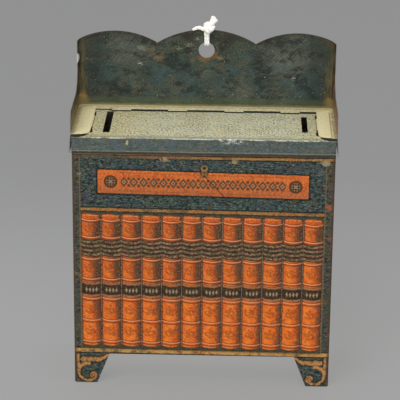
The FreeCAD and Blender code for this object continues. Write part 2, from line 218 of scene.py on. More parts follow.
class PrintLayout(bpy.types.PropertyGroup):
    """Where the print on the front lies. Heights are above the floor, widths from the middle."""

    book_count: IntProperty(name="Books", description="Printed book spines in the row", default=12, min=1)
    books_left: length("Books left", "Left edge of the row of books", -51.55)
    books_right: length("Books right", "Right edge of the row of books", 51.05)
    smile: length("Smile", "How far a row of a spine dips from its edges to its middle", 0.85)
    slope: ratio("Slope", "Rise of the printed rows to the right", -0.0095)
    plaque_left: length("Plaque left", "Left edge of the orange plaque", -44.2)
    plaque_right: length("Plaque right", "Right edge of the orange plaque", 44.1)
    plaque_top: length("Plaque top", "Upper edge of the plaque at mid width", 97.4)
    plaque_bottom: length("Plaque bottom", "Lower edge of the plaque at mid width", 87.1)
    plaque_slope: ratio("Plaque slope", "Rise of the plaque to the right", -0.0145)
    top_line: length("Top line", "Gilt line under the lid's skirt", 103.8)
    shelf_line: length("Shelf line", "Gilt line over the books", 79.9)
    rail_line: length("Rail line", "Gilt line along the lower rail", 15.15)
    keyhole_x: length("Keyhole side", "Printed keyhole, to the right of the middle", 0.4)
    keyhole_z: length("Keyhole height", "Eye of the printed keyhole", 99.4)


class Palette(bpy.types.PropertyGroup):
    """Colours of the printed tinplate and the string."""

    teal: colour("Blue-green", "Pebbled ground of the print", 0.026, 0.062, 0.066)
    olive: colour("Olive", "Aged stretches of the pebbled ground", 0.078, 0.074, 0.046)
    plum: colour("Plum", "Purplish grains of the pebbled ground", 0.070, 0.056, 0.070)
    ink: colour("Ink", "Darkest ink and grime", 0.008, 0.009, 0.008)
    fleck: colour("Fleck", "Worn grains of the pebbled ground", 0.150, 0.185, 0.165)
    umber: colour("Umber", "Brown wear on edges", 0.085, 0.050, 0.024)
    leather: colour("Leather", "Lit side of the book spines", 0.72, 0.128, 0.011)
    leather_red: colour("Leather red", "Redder stretches of the spines", 0.38, 0.060, 0.012)
    leather_gold: colour("Leather gold", "Yellow flecks of the spines", 0.86, 0.255, 0.032)
    leather_dark: colour("Leather shade", "Shaded side of the book spines", 0.115, 0.036, 0.015)
    leather_pale: colour("Leather light", "Ridges and edges of the book spines", 0.70, 0.330, 0.165)
    moss: colour("Moss", "Greenish brown of worn shadows", 0.092, 0.070, 0.032)
    soot: colour("Soot", "Brown black between the spines", 0.024, 0.014, 0.010)
    label: colour("Label", "Book labels", 0.028, 0.018, 0.010)
    gilt: colour("Gilt", "Gilt lines and scrolls", 0.41, 0.220, 0.066)
    pale_gilt: colour("Pale gilt", "Lightest gilt", 0.52, 0.33, 0.150)
    orange_gilt: colour("Orange gilt", "Reddened gilt", 0.46, 0.17, 0.035)
    bronze: colour("Bronze", "Worn gilt", 0.19, 0.105, 0.036)
    tan: colour("Tan", "Faded gilt marks", 0.34, 0.245, 0.145)
    plaque: colour("Plaque", "Orange plaque", 0.60, 0.132, 0.020)
    cream: colour("Cream", "Top of the lid", 0.575, 0.56, 0.37)
    # Partly painted light: the flange colour is kept lighter than the cream, against the wings' shade.
    flange: colour("Flange", "Yellowed cream of the gallery's flanges", 0.90, 0.80, 0.46)
    straw: colour("Straw", "Yellowed stretches of the cream", 0.56, 0.485, 0.245)
    stipple: colour("Stipple", "Worn specks in the cream", 0.15, 0.155, 0.105)
    chip: colour("Chip", "Chipped edges", 0.72, 0.70, 0.60)
    tin: colour("Tin", "Bare tinplate", 0.42, 0.40, 0.36)
    rust: colour("Rust", "Rust and stains", 0.24, 0.095, 0.022)
    cotton: colour("Cotton", "String", 0.93, 0.915, 0.865)


class StringSizes(bpy.types.PropertyGroup):
    """Sizes of the cotton string."""

    diameter: length("Diameter", "Thickness of the string", 1.3)
    lay: length("Lay", "Length of one full twist of the two plies", 3.4)
    knot_width: length("Knot width", "Width of the knot", 4.9)
    lean: ratio("Lean", "How far the knot leans forward at its foot", 0.5)


class Studio(bpy.types.PropertyGroup):
    """Camera, lamps and floor."""

    lens: length("Lens", "Focal length on a 36 mm sensor", 172.53)
    distance: length("Distance", "Camera to the point it looks at", 803.8)
    azimuth: angle("Azimuth", "Camera to the right of the front", 1.299)
    elevation: angle("Elevation", "Camera above the level", 20.175)
    roll: angle("Roll", "Turn of the camera about its axis", 0.548)
    target: FloatVectorProperty(name="Target", description="Point the camera looks at",
                                default=(-0.001291, -0.021, 0.085285), size=3, subtype="XYZ_LENGTH")
    key: power("Key", "Soft lamp over the front", 8.5)
    front: power("Front", "Soft low lamp before the front", 4.5)
    sky: FloatProperty(name="Sky", description="Even light from all round", default=0.62, min=0.0)
    floor: colour("Floor", "Plain pale floor, as the box is lit by it", 0.40, 0.40, 0.41)
    floor_seen: colour("Floor seen", "Shaded part of the floor's colour in the picture", 0.11, 0.11, 0.115)
    floor_glow: colour("Floor glow", "Part of the far floor's colour that takes no shadow", 0.18, 0.18, 0.18)
    # Painted light: the near and under glows lift the floor where the box shades it.
    near_glow: colour("Near glow", "The same, on the floor near the box", 0.25, 0.25, 0.245)
    under_glow: colour("Under glow", "The same, on the floor between the feet", 0.315, 0.312, 0.303)


# Steps in millimetres from the noise or grains of one seed to those of the next.
NOISE_STEP = (17.3, 31.7, -23.9)
GRAIN_STEP = (11.1, 7.7, 5.3)

# Depth in millimetres of the relief of pebbles, dents and fibres.
RELIEF = 0.05


class Wire:
    """One value in a material. Python's operators on it add Math nodes."""

    def __init__(self, finish, socket):
        self.finish = finish
        self.socket = socket

    def maths(self, operation, *others):
        """A Math node that takes this value first."""
        values = (self, *others)
        return self.finish.add("ShaderNodeMath", {"operation": operation}, dict(enumerate(values)))

    def reflected(self, operation, first):
        """A Math node that takes this value second."""
        return self.finish.add("ShaderNodeMath", {"operation": operation}, {0: first, 1: self})

    def __add__(self, other):
        return self.maths("ADD", other)

    def __radd__(self, other):
        return self.reflected("ADD", other)

    def __sub__(self, other):
        return self.maths("SUBTRACT", other)

    def __rsub__(self, other):
        return self.reflected("SUBTRACT", other)

    def __mul__(self, other):
        return self.maths("MULTIPLY", other)

    def __rmul__(self, other):
        return self.reflected("MULTIPLY", other)

    def __truediv__(self, other):
        return self.maths("DIVIDE", other)

    def __mod__(self, other):
        return self.maths("FLOORED_MODULO", other)

    def __abs__(self):
        return self.maths("ABSOLUTE")

    def floor(self):
        return self.maths("FLOOR")

    def root(self):
        return self.maths("SQRT")

    def sine(self):
        return self.maths("SINE")

    def least(self, other):
        return self.maths("MINIMUM", other)

    def most(self, other):
        return self.maths("MAXIMUM", other)


class Finish:
    """A material in the making. Its coordinates are in millimetres, in the frame of the part."""

    def __init__(self, name):
        self.material = bpy.data.materials.new(name)
        self.material.use_nodes = True
        self.tree = self.material.node_tree
        self.tree.nodes.clear()
        metres = self.add("ShaderNodeTexCoord", output="Object")
        self.place = self.add("ShaderNodeVectorMath", {"operation": "SCALE"}, {0: metres, "Scale": 1.0 / MM})
        # Read as colour channels, the coordinates are worked out beside the noise textures that follow.
        # Masks made from them then wait less, and the material of the front fits the renderer's stack.
        self.x, self.y, self.z = (
            self.add("ShaderNodeSeparateColor", {"mode": "RGB"}, {0: self.place}, channel)
            for channel in ("Red", "Green", "Blue")
        )

    def add(self, kind, settings=None, sockets=None, output=0):
        """Adds a node: its settings are set first, then the values or links of its sockets."""
        node = self.tree.nodes.new(kind)
        for name, value in (settings or {}).items():
            setattr(node, name, value)
        for key, value in (sockets or {}).items():
            socket = node.inputs[key]
            if isinstance(value, Wire):
                self.tree.links.new(value.socket, socket)
            elif socket.type == "RGBA":
                socket.default_value = (*value, 1.0)
            else:
                socket.default_value = value
        return Wire(self, node.outputs[output]) if node.outputs else None

    def mix(self, mask, under, over):
        """The colour over laid on the colour under, where mask is 1."""
        sockets = {0: mask, 6: under, 7: over}
        return self.add("ShaderNodeMix", {"data_type": "RGBA", "clamp_factor": True}, sockets, 2)

    def ramp(self, value, start, end):
        """0 up to start, 1 from end on, smooth between."""
        sockets = {"Value": value, "From Min": start, "From Max": end}
        return self.add("ShaderNodeMapRange", {"interpolation_type": "SMOOTHSTEP", "clamp": False}, sockets)

    def wash(self, ground, value, span, strength, over):
        """A colour laid on the ground: none of it at the start of a span of value, strength at its end."""
        return self.mix(self.ramp(value, *span) * strength, ground, over)

    def band(self, value, low, high, soft=0.2):
        """1 between low and high, with soft edges."""
        return self.ramp(value, low - soft, low + soft) * self.ramp(value, high + soft, high - soft)

    def bands(self, value, rows, soft=0.2):
        """1 inside any of the rows."""
        total = None
        for low, high in rows:
            row = self.band(value, low, high, soft)
            total = row if total is None else total.most(row)
        return total

    def noise(self, size, detail=2.0, roughness=0.55, seed=0, stretch=(1.0, 1.0, 1.0), slant=0.0, wavy=0.0):
        """Cloudy noise in lumps about size millimetres wide, stretched and slanted across the front."""
        offset = tuple(step * seed for step in NOISE_STEP)
        place = self.place
        if slant:
            sockets = {"Vector": place, "Angle": slant}
            place = self.add("ShaderNodeVectorRotate", {"rotation_type": "Y_AXIS"}, sockets)
        sockets = {0: place, 1: tuple(1.0 / factor for factor in stretch), 2: offset}
        place = self.add("ShaderNodeVectorMath", {"operation": "MULTIPLY_ADD"}, sockets)
        sockets = {"Vector": place, "Scale": 1.0 / size, "Detail": detail, "Roughness": roughness}
        return self.add("ShaderNodeTexNoise", {}, sockets | {"Distortion": wavy})

    def grains(self, size, seed=0):
        """Distance to the nearest of grains about size millimetres apart, as a share of that size."""
        offset = tuple(step * seed for step in GRAIN_STEP)
        place = self.add("ShaderNodeVectorMath", {"operation": "ADD"}, {0: self.place, 1: offset})
        return self.add("ShaderNodeTexVoronoi", {}, {"Vector": place, "Scale": 1.0 / size})

    def radius(self, across, up):
        """Distance from a centre."""
        return (across * across + up * up).root()

    def rounded(self, offsets, corner):
        """Signed distance to a rounded box: 0 on its outside, negative within."""
        beyond = None
        inside = None
        for offset in offsets:
            positive = offset.most(0.0)
            square = positive * positive
            beyond = square if beyond is None else beyond + square
            inside = offset if inside is None else inside.most(offset)
        return beyond.root() + inside.least(0.0) - corner

    def bump(self, height):
        """Normal of a surface with a fine relief."""
        sockets = {"Strength": 1.0, "Distance": RELIEF * MM, "Height": height}
        return self.add("ShaderNodeBump", {}, sockets, "Normal")

    def surface(self, **sockets):
        """Closes the material with one Principled shader. Underscores in the names stand for spaces."""
        named = {name.replace("_", " "): value for name, value in sockets.items()}
        shader = self.add("ShaderNodeBsdfPrincipled", {}, named)
        self.add("ShaderNodeOutputMaterial", {}, {"Surface": shader})
        return self.material


def mm(value):
    """A stored length in millimetres."""
    return value / MM


def pebbled_cloth(paint, palette):
    """The dark blue-green ground, printed like pebbled book cloth."""
    grain = pebble_relief(paint)
    tint = paint.noise(1.3, detail=2.0, roughness=0.6, seed=2, stretch=(2.2, 2.2, 1.0), wavy=0.5)
    hue = paint.noise(5.0, detail=2.0, seed=51, stretch=(1.6, 1.6, 1.0))
    patch = paint.noise(13.0, detail=3.0, seed=3)
    worn = paint.noise(0.6, detail=1.0, seed=4, stretch=(2.0, 2.0, 1.0), wavy=0.5)
    ground = paint.wash(palette.teal, hue, (0.50, 0.62), 0.7, MOSSY_TEAL)
    ground = paint.wash(ground, tint, (0.46, 0.60), 0.8, palette.olive)
    ground = paint.wash(ground, tint + (hue - 0.5) * 0.6, (0.42, 0.34), 0.8, palette.plum)
    ground = paint.wash(ground, grain, (0.54, 0.40), 0.9, palette.ink)
    ground = paint.wash(ground, worn, (0.54, 0.70), 0.75, palette.fleck)
    return paint.wash(ground, patch, (0.56, 0.74), 0.35, palette.umber)


def pebble_relief(paint):
    """Fine relief of the pebbled ground, drawn out sideways."""
    return paint.noise(0.7, detail=2.0, roughness=0.65, seed=1, stretch=(2.2, 2.2, 1.0), wavy=0.6)


def bare_tin(paint, palette):
    """Dull tinned sheet with spangle, stains and rust spots."""
    spangle = paint.grains(4.0, seed=3)
    cloud = paint.noise(9.0, detail=3.0, seed=5)
    spots = paint.noise(1.6, detail=3.0, roughness=0.65, seed=6)
    shade = paint.mix(paint.ramp(cloud, 0.35, 0.7), palette.tin, DULL_TIN)
    shade = paint.wash(shade, spangle, (0.1, 0.8), 0.25, BRIGHT_TIN)
    return paint.wash(shade, spots, (0.62, 0.72), 0.8, palette.rust)


def worn_gilt(paint, palette, seed):
    """Gilt ink that changes from gold to orange and bronze along the line and is broken by dark specks."""
    long_wear = paint.noise(11.0, detail=2.0, seed=seed)
    specks = paint.noise(0.7, detail=2.0, roughness=0.65, seed=seed + 20)
    gilt = paint.mix(paint.ramp(long_wear, 0.42, 0.62), palette.gilt, palette.orange_gilt)
    gilt = paint.wash(gilt, long_wear, (0.46, 0.36), 0.8, palette.bronze)
    gilt = paint.wash(gilt, specks, (0.60, 0.70), 0.6, palette.straw)
    return paint.wash(gilt, specks, (0.48, 0.36), 0.6, palette.umber)


def gilt_line(paint, ground, palette, height, half, seed, strength=0.95):
    """A worn gilt line that reaches half above and below height 0, with a dark line along both edges."""
    wear = paint.noise(2.4, detail=3.0, roughness=0.7, seed=seed)
    body = paint.ramp(abs(height) + (wear - 0.5) * 0.9, half + 0.15, half - 0.25)
    rim = paint.ramp(abs(height), half + 0.75, half + 0.35)
    ground = paint.mix(rim * 0.8, ground, palette.ink)
    return paint.mix(body * strength, ground, worn_gilt(paint, palette, seed))


# Foot scrolls in millimetres: places as distance from the corner of the body and height above the floor.
BOWL_PLACE = (6.0, 5.1)
BOWL_RADIUS = 4.1
EYE_PLACE = (8.2, 3.5)
EYE_RADIUS = 1.1
LEAF_HEIGHT = 11.0
LEAF_RISE = 10.0
STEM_PLACE = 1.6
FOOT_TOP = 13.5


def foot_scrolls(paint, ground, palette, corner):
    """Gilt scrolls of the bracket feet; corner is the distance from the nearest corner of the body."""
    wear = paint.noise(1.5, detail=3.0, roughness=0.7, seed=31)
    ragged = (wear - 0.5) * 1.5
    across = corner - BOWL_PLACE[0]
    up = paint.z - BOWL_PLACE[1]
    gap = paint.ramp(across, 0.7, 1.5) * paint.ramp(up, -2.4, -1.2)
    bowl_width = 0.68 + paint.ramp(up, 0.0, 4.0) * 0.3
    bowl = abs(paint.radius(across, up) - BOWL_RADIUS) - bowl_width + gap * 9.0
    eye = paint.radius(corner - EYE_PLACE[0], paint.z - EYE_PLACE[1])
    volute = abs(eye - EYE_RADIUS) - 0.55
    rise = (corner - LEAF_RISE).most(0.0)
    leaf = abs(paint.z - LEAF_HEIGHT - rise * rise * 0.11) - 1.15 + rise * 0.08
    leaf = leaf + paint.ramp(corner, 3.2, 2.0) * 2.0
    stem = abs(corner - STEM_PLACE) - 0.72 + paint.ramp(paint.z, 5.0, 3.0) * 2.0
    stroke = bowl.least(volute).least(leaf).least(stem) + ragged
    below = paint.ramp(paint.z, FOOT_TOP + 0.2, FOOT_TOP - 0.2)
    ground = paint.mix(paint.ramp(stroke, 0.75, 0.4) * below * 0.8, ground, palette.soot)
    gilt = worn_gilt(paint, palette, 36)
    gilt = paint.wash(gilt, stroke, (-0.25, -0.6), 0.4, palette.pale_gilt)
    gilt = paint.wash(gilt, stroke, (-0.6, 0.05), 0.9, palette.bronze)
    gilt = paint.wash(gilt, wear, (0.46, 0.60), 0.5, palette.umber)
    ground = paint.mix(paint.ramp(stroke, 0.2, -0.2) * below * 0.92, ground, gilt)
    ground = paint.mix(paint.ramp(eye, 0.8, 0.55) * below * 0.85, ground, palette.leather_red)
    return paint.mix(paint.ramp(eye, 0.4, 0.2) * below * 0.7, ground, palette.pale_gilt)


def flourish(paint, across, up):
    """Distance to the lines of a small sprig in millimetres: a large and a small curl, a leaf and a stalk."""
    large = abs(paint.radius(across + 0.75, up + 0.15) - 0.95)
    small = abs(paint.radius(across - 1.05, up - 0.55) - 0.6)
    leaf = paint.radius(across * 1.3 + 0.2, (up - 1.9) * 1.2) - 0.35
    stalk = paint.radius((across - 0.7) * 0.4, up + 1.5 - across * 0.25) - 0.1
    return large.least(small).least(leaf).least(stalk)


def book_spines(paint, ground, palette, layout):
    """The printed row of leather spines, each lit on its left and shaded on its right."""
    left = mm(layout.books_left)
    right = mm(layout.books_right)
    pitch = (right - left) / layout.book_count
    across = (paint.x - left) / pitch
    number = across.floor()
    share = across - number
    middle = share - 0.5
    straight = paint.z - layout.slope * paint.x
    level = straight - middle * middle * (4.0 * mm(layout.smile))

    spine = spine_leather(paint, palette, share)
    spine = spine_sprigs(paint, spine, palette, level, share, number, pitch)
    spine = spine_ridges(paint, spine, palette, level, straight, share)
    spine = book_labels(paint, spine, palette, level, share)
    fine = leather_grain(paint)
    from_edge = 0.5 - abs(middle) + (fine - 0.5) * 0.05
    apart = 1.0 - paint.band(level, *BIG_LABEL) * 0.7
    spine = paint.mix(paint.ramp(from_edge, 0.075, 0.025) * apart * 0.88, spine, palette.soot)
    gap_line = paint.ramp(from_edge, 0.030, 0.012) * paint.ramp(fine, 0.38, 0.54)
    spine = paint.mix(gap_line * apart * 0.65, spine, palette.tan)

    round_off = middle * middle * middle * middle * 7.0
    inside = paint.ramp(straight + round_off, BOOK_HEAD + 0.25, BOOK_HEAD - 0.25)
    inside = inside * paint.ramp(level, BOOK_FOOT - 0.25, BOOK_FOOT + 0.25)
    inside = inside * paint.band(paint.x, left, right, 0.1)
    beside = paint.band(paint.x, left, right, 0.3)
    over = (BOOK_HEAD - 2.0, BOOK_HEAD + 1.0)
    under = (BOOK_FOOT - 1.6, BOOK_FOOT + 2.0)
    for row, strength, start in ((over, 0.75, 0.4), (under, 0.8, 0.36)):
        shadow = paint.band(straight, *row, 0.5) * beside * strength
        dirt = paint.mix(paint.ramp(fine, start, 0.6), palette.soot, palette.moss)
        ground = paint.mix(shadow, ground, dirt)
    return paint.mix(inside, ground, spine)


def leather_grain(paint):
    """Fine grain of the printed leather."""
    return paint.noise(0.7, detail=2.0, roughness=0.65, seed=7)


def spine_leather(paint, palette, share):
    """Mottled orange leather, rounded by a lit strip and shaded edges, brighter low down."""
    fine = leather_grain(paint)
    mottle = paint.noise(1.8, detail=3.0, roughness=0.6, seed=8)
    tint = paint.noise(3.5, detail=2.0, seed=37)
    bright = paint.ramp(paint.z - paint.x * 0.25, 80.0, 30.0)
    lit = paint.wash(palette.leather, tint, (0.46, 0.62), 0.45, palette.leather_gold)
    lit = paint.wash(lit, mottle, (0.50, 0.64), 0.75, palette.leather_red)
    lit = paint.wash(lit, fine, (0.57, 0.67), 0.6, palette.leather_pale)
    lit = paint.wash(lit, fine, (0.46, 0.34), 0.6, palette.leather_red)
    lit = paint.mix((1.0 - bright) * 0.45, lit, palette.leather_red)
    lit = paint.mix((1.0 - bright) * paint.ramp(fine, 0.53, 0.65) * 0.75, lit, palette.tan)
    gloss = paint.band(share, 0.22, 0.46, 0.14) * (0.1 + paint.ramp(bright, 0.4, 1.0) * 0.3)
    lit = paint.mix(gloss, lit, palette.leather_gold)
    dark = paint.wash(palette.leather_dark, mottle, (0.42, 0.56), 0.8, palette.moss)
    dark = paint.wash(dark, fine, (0.54, 0.42), 0.65, palette.soot)
    dark = paint.wash(dark, fine, (0.55, 0.65), 0.6, SHADE_FLECK)
    glow = bright * bright
    dark = paint.mix(glow * 0.3, dark, WARM_SHADE)
    scatter = (fine - 0.5) * 1.15 + (mottle - 0.5) * 0.3
    shade = paint.ramp(share + scatter - glow * 0.19, 0.40, 0.69)
    leather = paint.mix(shade, lit, dark)
    return paint.wash(leather, share + scatter * 0.12, (0.13, 0.03), 0.6, palette.leather_dark)


def spine_sprigs(paint, spine, palette, level, share, number, pitch):
    """A small worn sprig on each panel of a spine."""
    fine = paint.noise(0.5, detail=2.0, roughness=0.65, seed=38)
    on_panel = None
    up = None
    for low, high in BOOK_PANELS:
        row = paint.band(level, low, high, 0.05)
        rise = row * (level - 0.5 * (low + high))
        on_panel = row if on_panel is None else on_panel + row
        up = rise if up is None else up + rise
    turn = 1.0 - (number % 2.0) * 2.0
    sideways = (share - 0.42) * pitch * turn
    bent = (paint.noise(1.4, detail=2.0, seed=41) - 0.5) * 2.6
    sideways = sideways + bent
    up = up - bent
    worn = (fine - 0.5) * 2.0
    gleam = paint.ramp(flourish(paint, sideways + turn * 0.45, up + 0.45) + worn, 0.45, 0.1)
    stroke = paint.ramp(flourish(paint, sideways, up) + worn, 0.7, 0.15)
    spine = paint.mix(gleam * on_panel * 0.55, spine, palette.leather_gold)
    return paint.mix(stroke * on_panel * 0.64, spine, SPRIG_RED)


def spine_ridges(paint, spine, palette, level, straight, share):
    """Raised bands across a spine with dark lines beside them, and its rounded head."""
    fine = leather_grain(paint)
    under = paint.bands(level, [(low - 0.55, low - 0.05) for low, high in BOOK_RIDGES], 0.16)
    over = paint.bands(level, [(high + 0.05, high + 0.45) for low, high in BOOK_RIDGES], 0.16)
    spine = paint.mix(under.most(over * 0.8) * 0.85, spine, palette.leather_dark)
    ridges = paint.bands(level, BOOK_RIDGES, 0.16)
    shine = paint.bands(level, [(high - 0.42, high - 0.06) for low, high in BOOK_RIDGES], 0.14)
    light = paint.mix(paint.ramp(fine, 0.42, 0.58), palette.leather_red, palette.leather)
    light = paint.mix(shine * 0.85, light, RIDGE_SHINE)
    light = paint.wash(light, share, (0.55, 0.9), 0.35, palette.leather_dark)
    spine = paint.mix(ridges * 0.9, spine, light)
    low, high = BOOK_CAP
    head = paint.band(straight, low, high, 0.25) * paint.band(share, 0.10, 0.88, 0.06)
    head_shade = paint.mix(paint.ramp(fine, 0.40, 0.60), palette.leather_red, palette.leather)
    shine = paint.band(straight, high - 0.5, high, 0.2) * paint.ramp(fine, 0.36, 0.52)
    head_shade = paint.mix(shine * 0.75, head_shade, HEAD_SHINE)
    return paint.mix(head * 0.8, spine, head_shade)


def book_labels(paint, spine, palette, level, share):
    """Dark labels: broken gilt rules on the big one, gilt lozenges in a brown surround on the small one."""
    low, high = BIG_LABEL
    row = (level - low) * (LABEL_RULES / (high - low))
    row_middle = row - row.floor() - 0.5
    crumble = paint.noise(0.55, detail=1.0, seed=9, stretch=(1.3, 1.0, 1.0))
    tint = paint.noise(2.2, detail=2.0, seed=39)
    label = paint.wash(palette.label, crumble, (0.44, 0.60), 0.8, palette.umber)
    rule = paint.mix(paint.ramp(tint, 0.42, 0.50), OLIVE_RULE, TAN_RULE)
    rule = paint.mix(paint.ramp(tint, 0.50, 0.60), rule, RED_RULE)
    rules = paint.band(row_middle, -0.26, 0.2, 0.12)
    label = paint.mix(rules * 0.75, label, rule)
    label = paint.mix(rules * paint.ramp(crumble, 0.54, 0.64) * 0.7, label, palette.tan)
    label = paint.mix(rules * paint.ramp(crumble, 0.45, 0.36) * 0.75, label, palette.label)
    spine = paint.mix(paint.band(level, low, high, 0.2), spine, label)

    low, high = LABEL_SURROUND
    around = paint.mix(paint.ramp(crumble, 0.38, 0.54), palette.leather_dark, SURROUND_BROWN)
    lines = paint.bands(level, ((low + 0.4, low + 0.6), (high - 0.8, high - 0.6)), 0.15)
    around = paint.mix(lines * 0.85, around, palette.tan)
    spine = paint.mix(paint.band(level, low, high, 0.25) * 0.85, spine, around)
    low, high = SMALL_LABEL
    small = paint.wash(palette.label, crumble, (0.44, 0.62), 0.8, palette.umber)
    along = (share * LABEL_LOZENGES) % 1.0 - 0.5
    lozenge = paint.ramp(abs(along) * 2.3 + abs(level - 0.5 * (low + high)) * 0.75, 1.05, 0.7)
    lozenge = lozenge * paint.band(share, 0.16, 0.83, 0.02) * (0.6 + paint.ramp(crumble, 0.36, 0.5) * 0.4)
    small = paint.mix(lozenge * 0.9, small, palette.tan)
    return paint.mix(paint.band(level, low, high, 0.2), spine, small)


# Ornament of the plaque in millimetres. The scratch has a start, a right end and a run for each step down.
ROSETTE_INSET = 5.4
ROSETTE_RADIUS = 2.85
LOZENGE_PITCH = 4.15
SCRATCH_START = (0.7, 95.5)
SCRATCH_END = 8.7
SCRATCH_RUN = 0.94


def orange_plaque(paint, ground, palette, layout):
    """The orange plaque with a rosette at each end and a plain run of lozenges and dots between them."""
    left = mm(layout.plaque_left)
    right = mm(layout.plaque_right)
    top = mm(layout.plaque_top)
    bottom = mm(layout.plaque_bottom)
    level = paint.z - layout.plaque_slope * paint.x - 0.5 * (top + bottom)
    across = paint.x - 0.5 * (left + right)
    half_width = 0.5 * (right - left)
    half_height = 0.5 * (top - bottom)
    rosette_place = half_width - ROSETTE_INSET
    fine = paint.noise(0.8, detail=2.0, roughness=0.7, seed=10)
    mottle = paint.noise(2.6, detail=3.0, seed=11)
    face = paint.wash(palette.plaque, mottle, (0.42, 0.66), 0.75, palette.leather_red)
    face = paint.wash(face, fine, (0.50, 0.36), 0.5, PALE_PLAQUE)
    face = paint.wash(face, fine, (0.55, 0.66), 0.8, PLAQUE_GRIME)
    face = paint.wash(face, level + (mottle - 0.5) * 8.0, (2.5, -6.5), 0.34, PLAQUE_GRIME)
    face = plaque_rosettes(paint, face, palette, abs(across) - rosette_place, level, fine)
    face = plaque_lozenges(paint, face, palette, across, level, fine, rosette_place)
    rule = paint.ramp(abs(abs(level) - (half_height - 1.15)), 0.24, 0.1)
    rule = rule * paint.ramp(abs(across), rosette_place - 3.4, rosette_place - 3.8)
    face = paint.mix(rule * 0.45, face, palette.umber)

    start_x, start_z = SCRATCH_START
    scratch = paint.band((paint.x - start_x) + (paint.z - start_z) * SCRATCH_RUN, -0.25, 0.25, 0.2)
    scratch = scratch * paint.band(paint.x, start_x, SCRATCH_END, 0.3)
    face = paint.mix(scratch * 0.85, face, palette.ink)
    ragged = (fine - 0.5) * 0.6
    inside = paint.ramp(abs(across) + ragged, half_width + 0.15, half_width - 0.15)
    inside = inside * paint.ramp(abs(level) + ragged, half_height + 0.15, half_height - 0.15)
    rim = paint.ramp(abs(across), half_width + 1.0, half_width + 0.5)
    rim = rim * paint.ramp(abs(level), half_height + 1.0, half_height + 0.5)
    ground = paint.mix(rim * 0.75, ground, palette.ink)
    return paint.mix(inside, ground, face)


def plaque_rosettes(paint, face, palette, across, level, fine):
    """A dark disc with a bronze ring and light petals; across is the distance beside its middle."""
    spoke = paint.radius(across, level)
    petals = (across * 2.9).sine() * (level * 2.9).sine()
    disc = paint.ramp(spoke + (fine - 0.5) * 0.5, ROSETTE_RADIUS + 0.2, ROSETTE_RADIUS - 0.2)
    face = paint.mix(disc * 0.9, face, palette.label)
    face = paint.mix(paint.band(spoke, 1.95, 2.2, 0.15) * 0.6, face, palette.bronze)
    light = paint.ramp(abs(petals), 0.35, 0.7).most(paint.ramp(spoke, 0.6, 0.35))
    light = light * paint.ramp(spoke, 1.9, 1.6)
    return paint.mix(light * 0.75, face, palette.tan)


def plaque_lozenges(paint, face, palette, across, level, fine, rosette_place):
    """A run of lozenges with a seed in each and dots between them."""
    along = (across / LOZENGE_PITCH + 0.5) % 1.0 - 0.5
    run = paint.ramp(abs(across), rosette_place - 4.0, rosette_place - 4.4)
    diamond = abs(along * LOZENGE_PITCH) * 1.15 + abs(level) * 0.95 + (fine - 0.5) * 0.4
    outline = paint.band(diamond, 1.05, 2.2, 0.22)
    seed = paint.ramp(diamond, 0.66, 0.4)
    beside = abs(abs(along) - 0.5) * LOZENGE_PITCH
    dots = paint.ramp(paint.radius(beside, abs(level) - 1.5), 0.85, 0.55)
    band = outline.most(seed).most(dots) * run
    face = paint.mix(paint.band(diamond, 0.55, 1.1, 0.18) * run * 0.65, face, palette.tan)
    return paint.mix(band * 0.92, face, palette.umber)


def keyhole(paint, ground, palette, layout):
    """The printed keyhole over the plaque: two rings, one over the other, on a flared foot."""
    across = paint.x - mm(layout.keyhole_x)
    up = paint.z - mm(layout.keyhole_z)
    upper = paint.radius(across, up)
    lower = paint.radius(across, up + 1.9)
    ground = paint.wash(ground, upper.least(lower), (2.1, 1.7), 0.75, palette.ink)
    rings = abs(upper - 1.05).least(abs(lower - 0.75))
    ground = paint.wash(ground, rings, (0.7, 0.35), 0.9, palette.bronze)
    gleam = paint.ramp(abs(upper - 1.2), 0.3, 0.1) * paint.ramp(up, 0.6, -0.4)
    ground = paint.mix(gleam * 0.6, ground, palette.tan)
    dark = paint.ramp(upper, 0.6, 0.4).most(paint.ramp(lower, 0.4, 0.25))
    ground = paint.mix(dark, ground, palette.ink)
    flare = abs(across) + (up + 3.5) * 0.9
    foot = paint.ramp(flare, 1.8, 1.4) * paint.band(up, -4.4, -2.7, 0.2)
    ground = paint.mix(foot * 0.9, ground, palette.bronze)
    heart = paint.ramp(flare, 0.6, 0.2) * paint.band(up, -4.1, -3.1, 0.2)
    return paint.mix(heart * 0.8, ground, palette.ink)


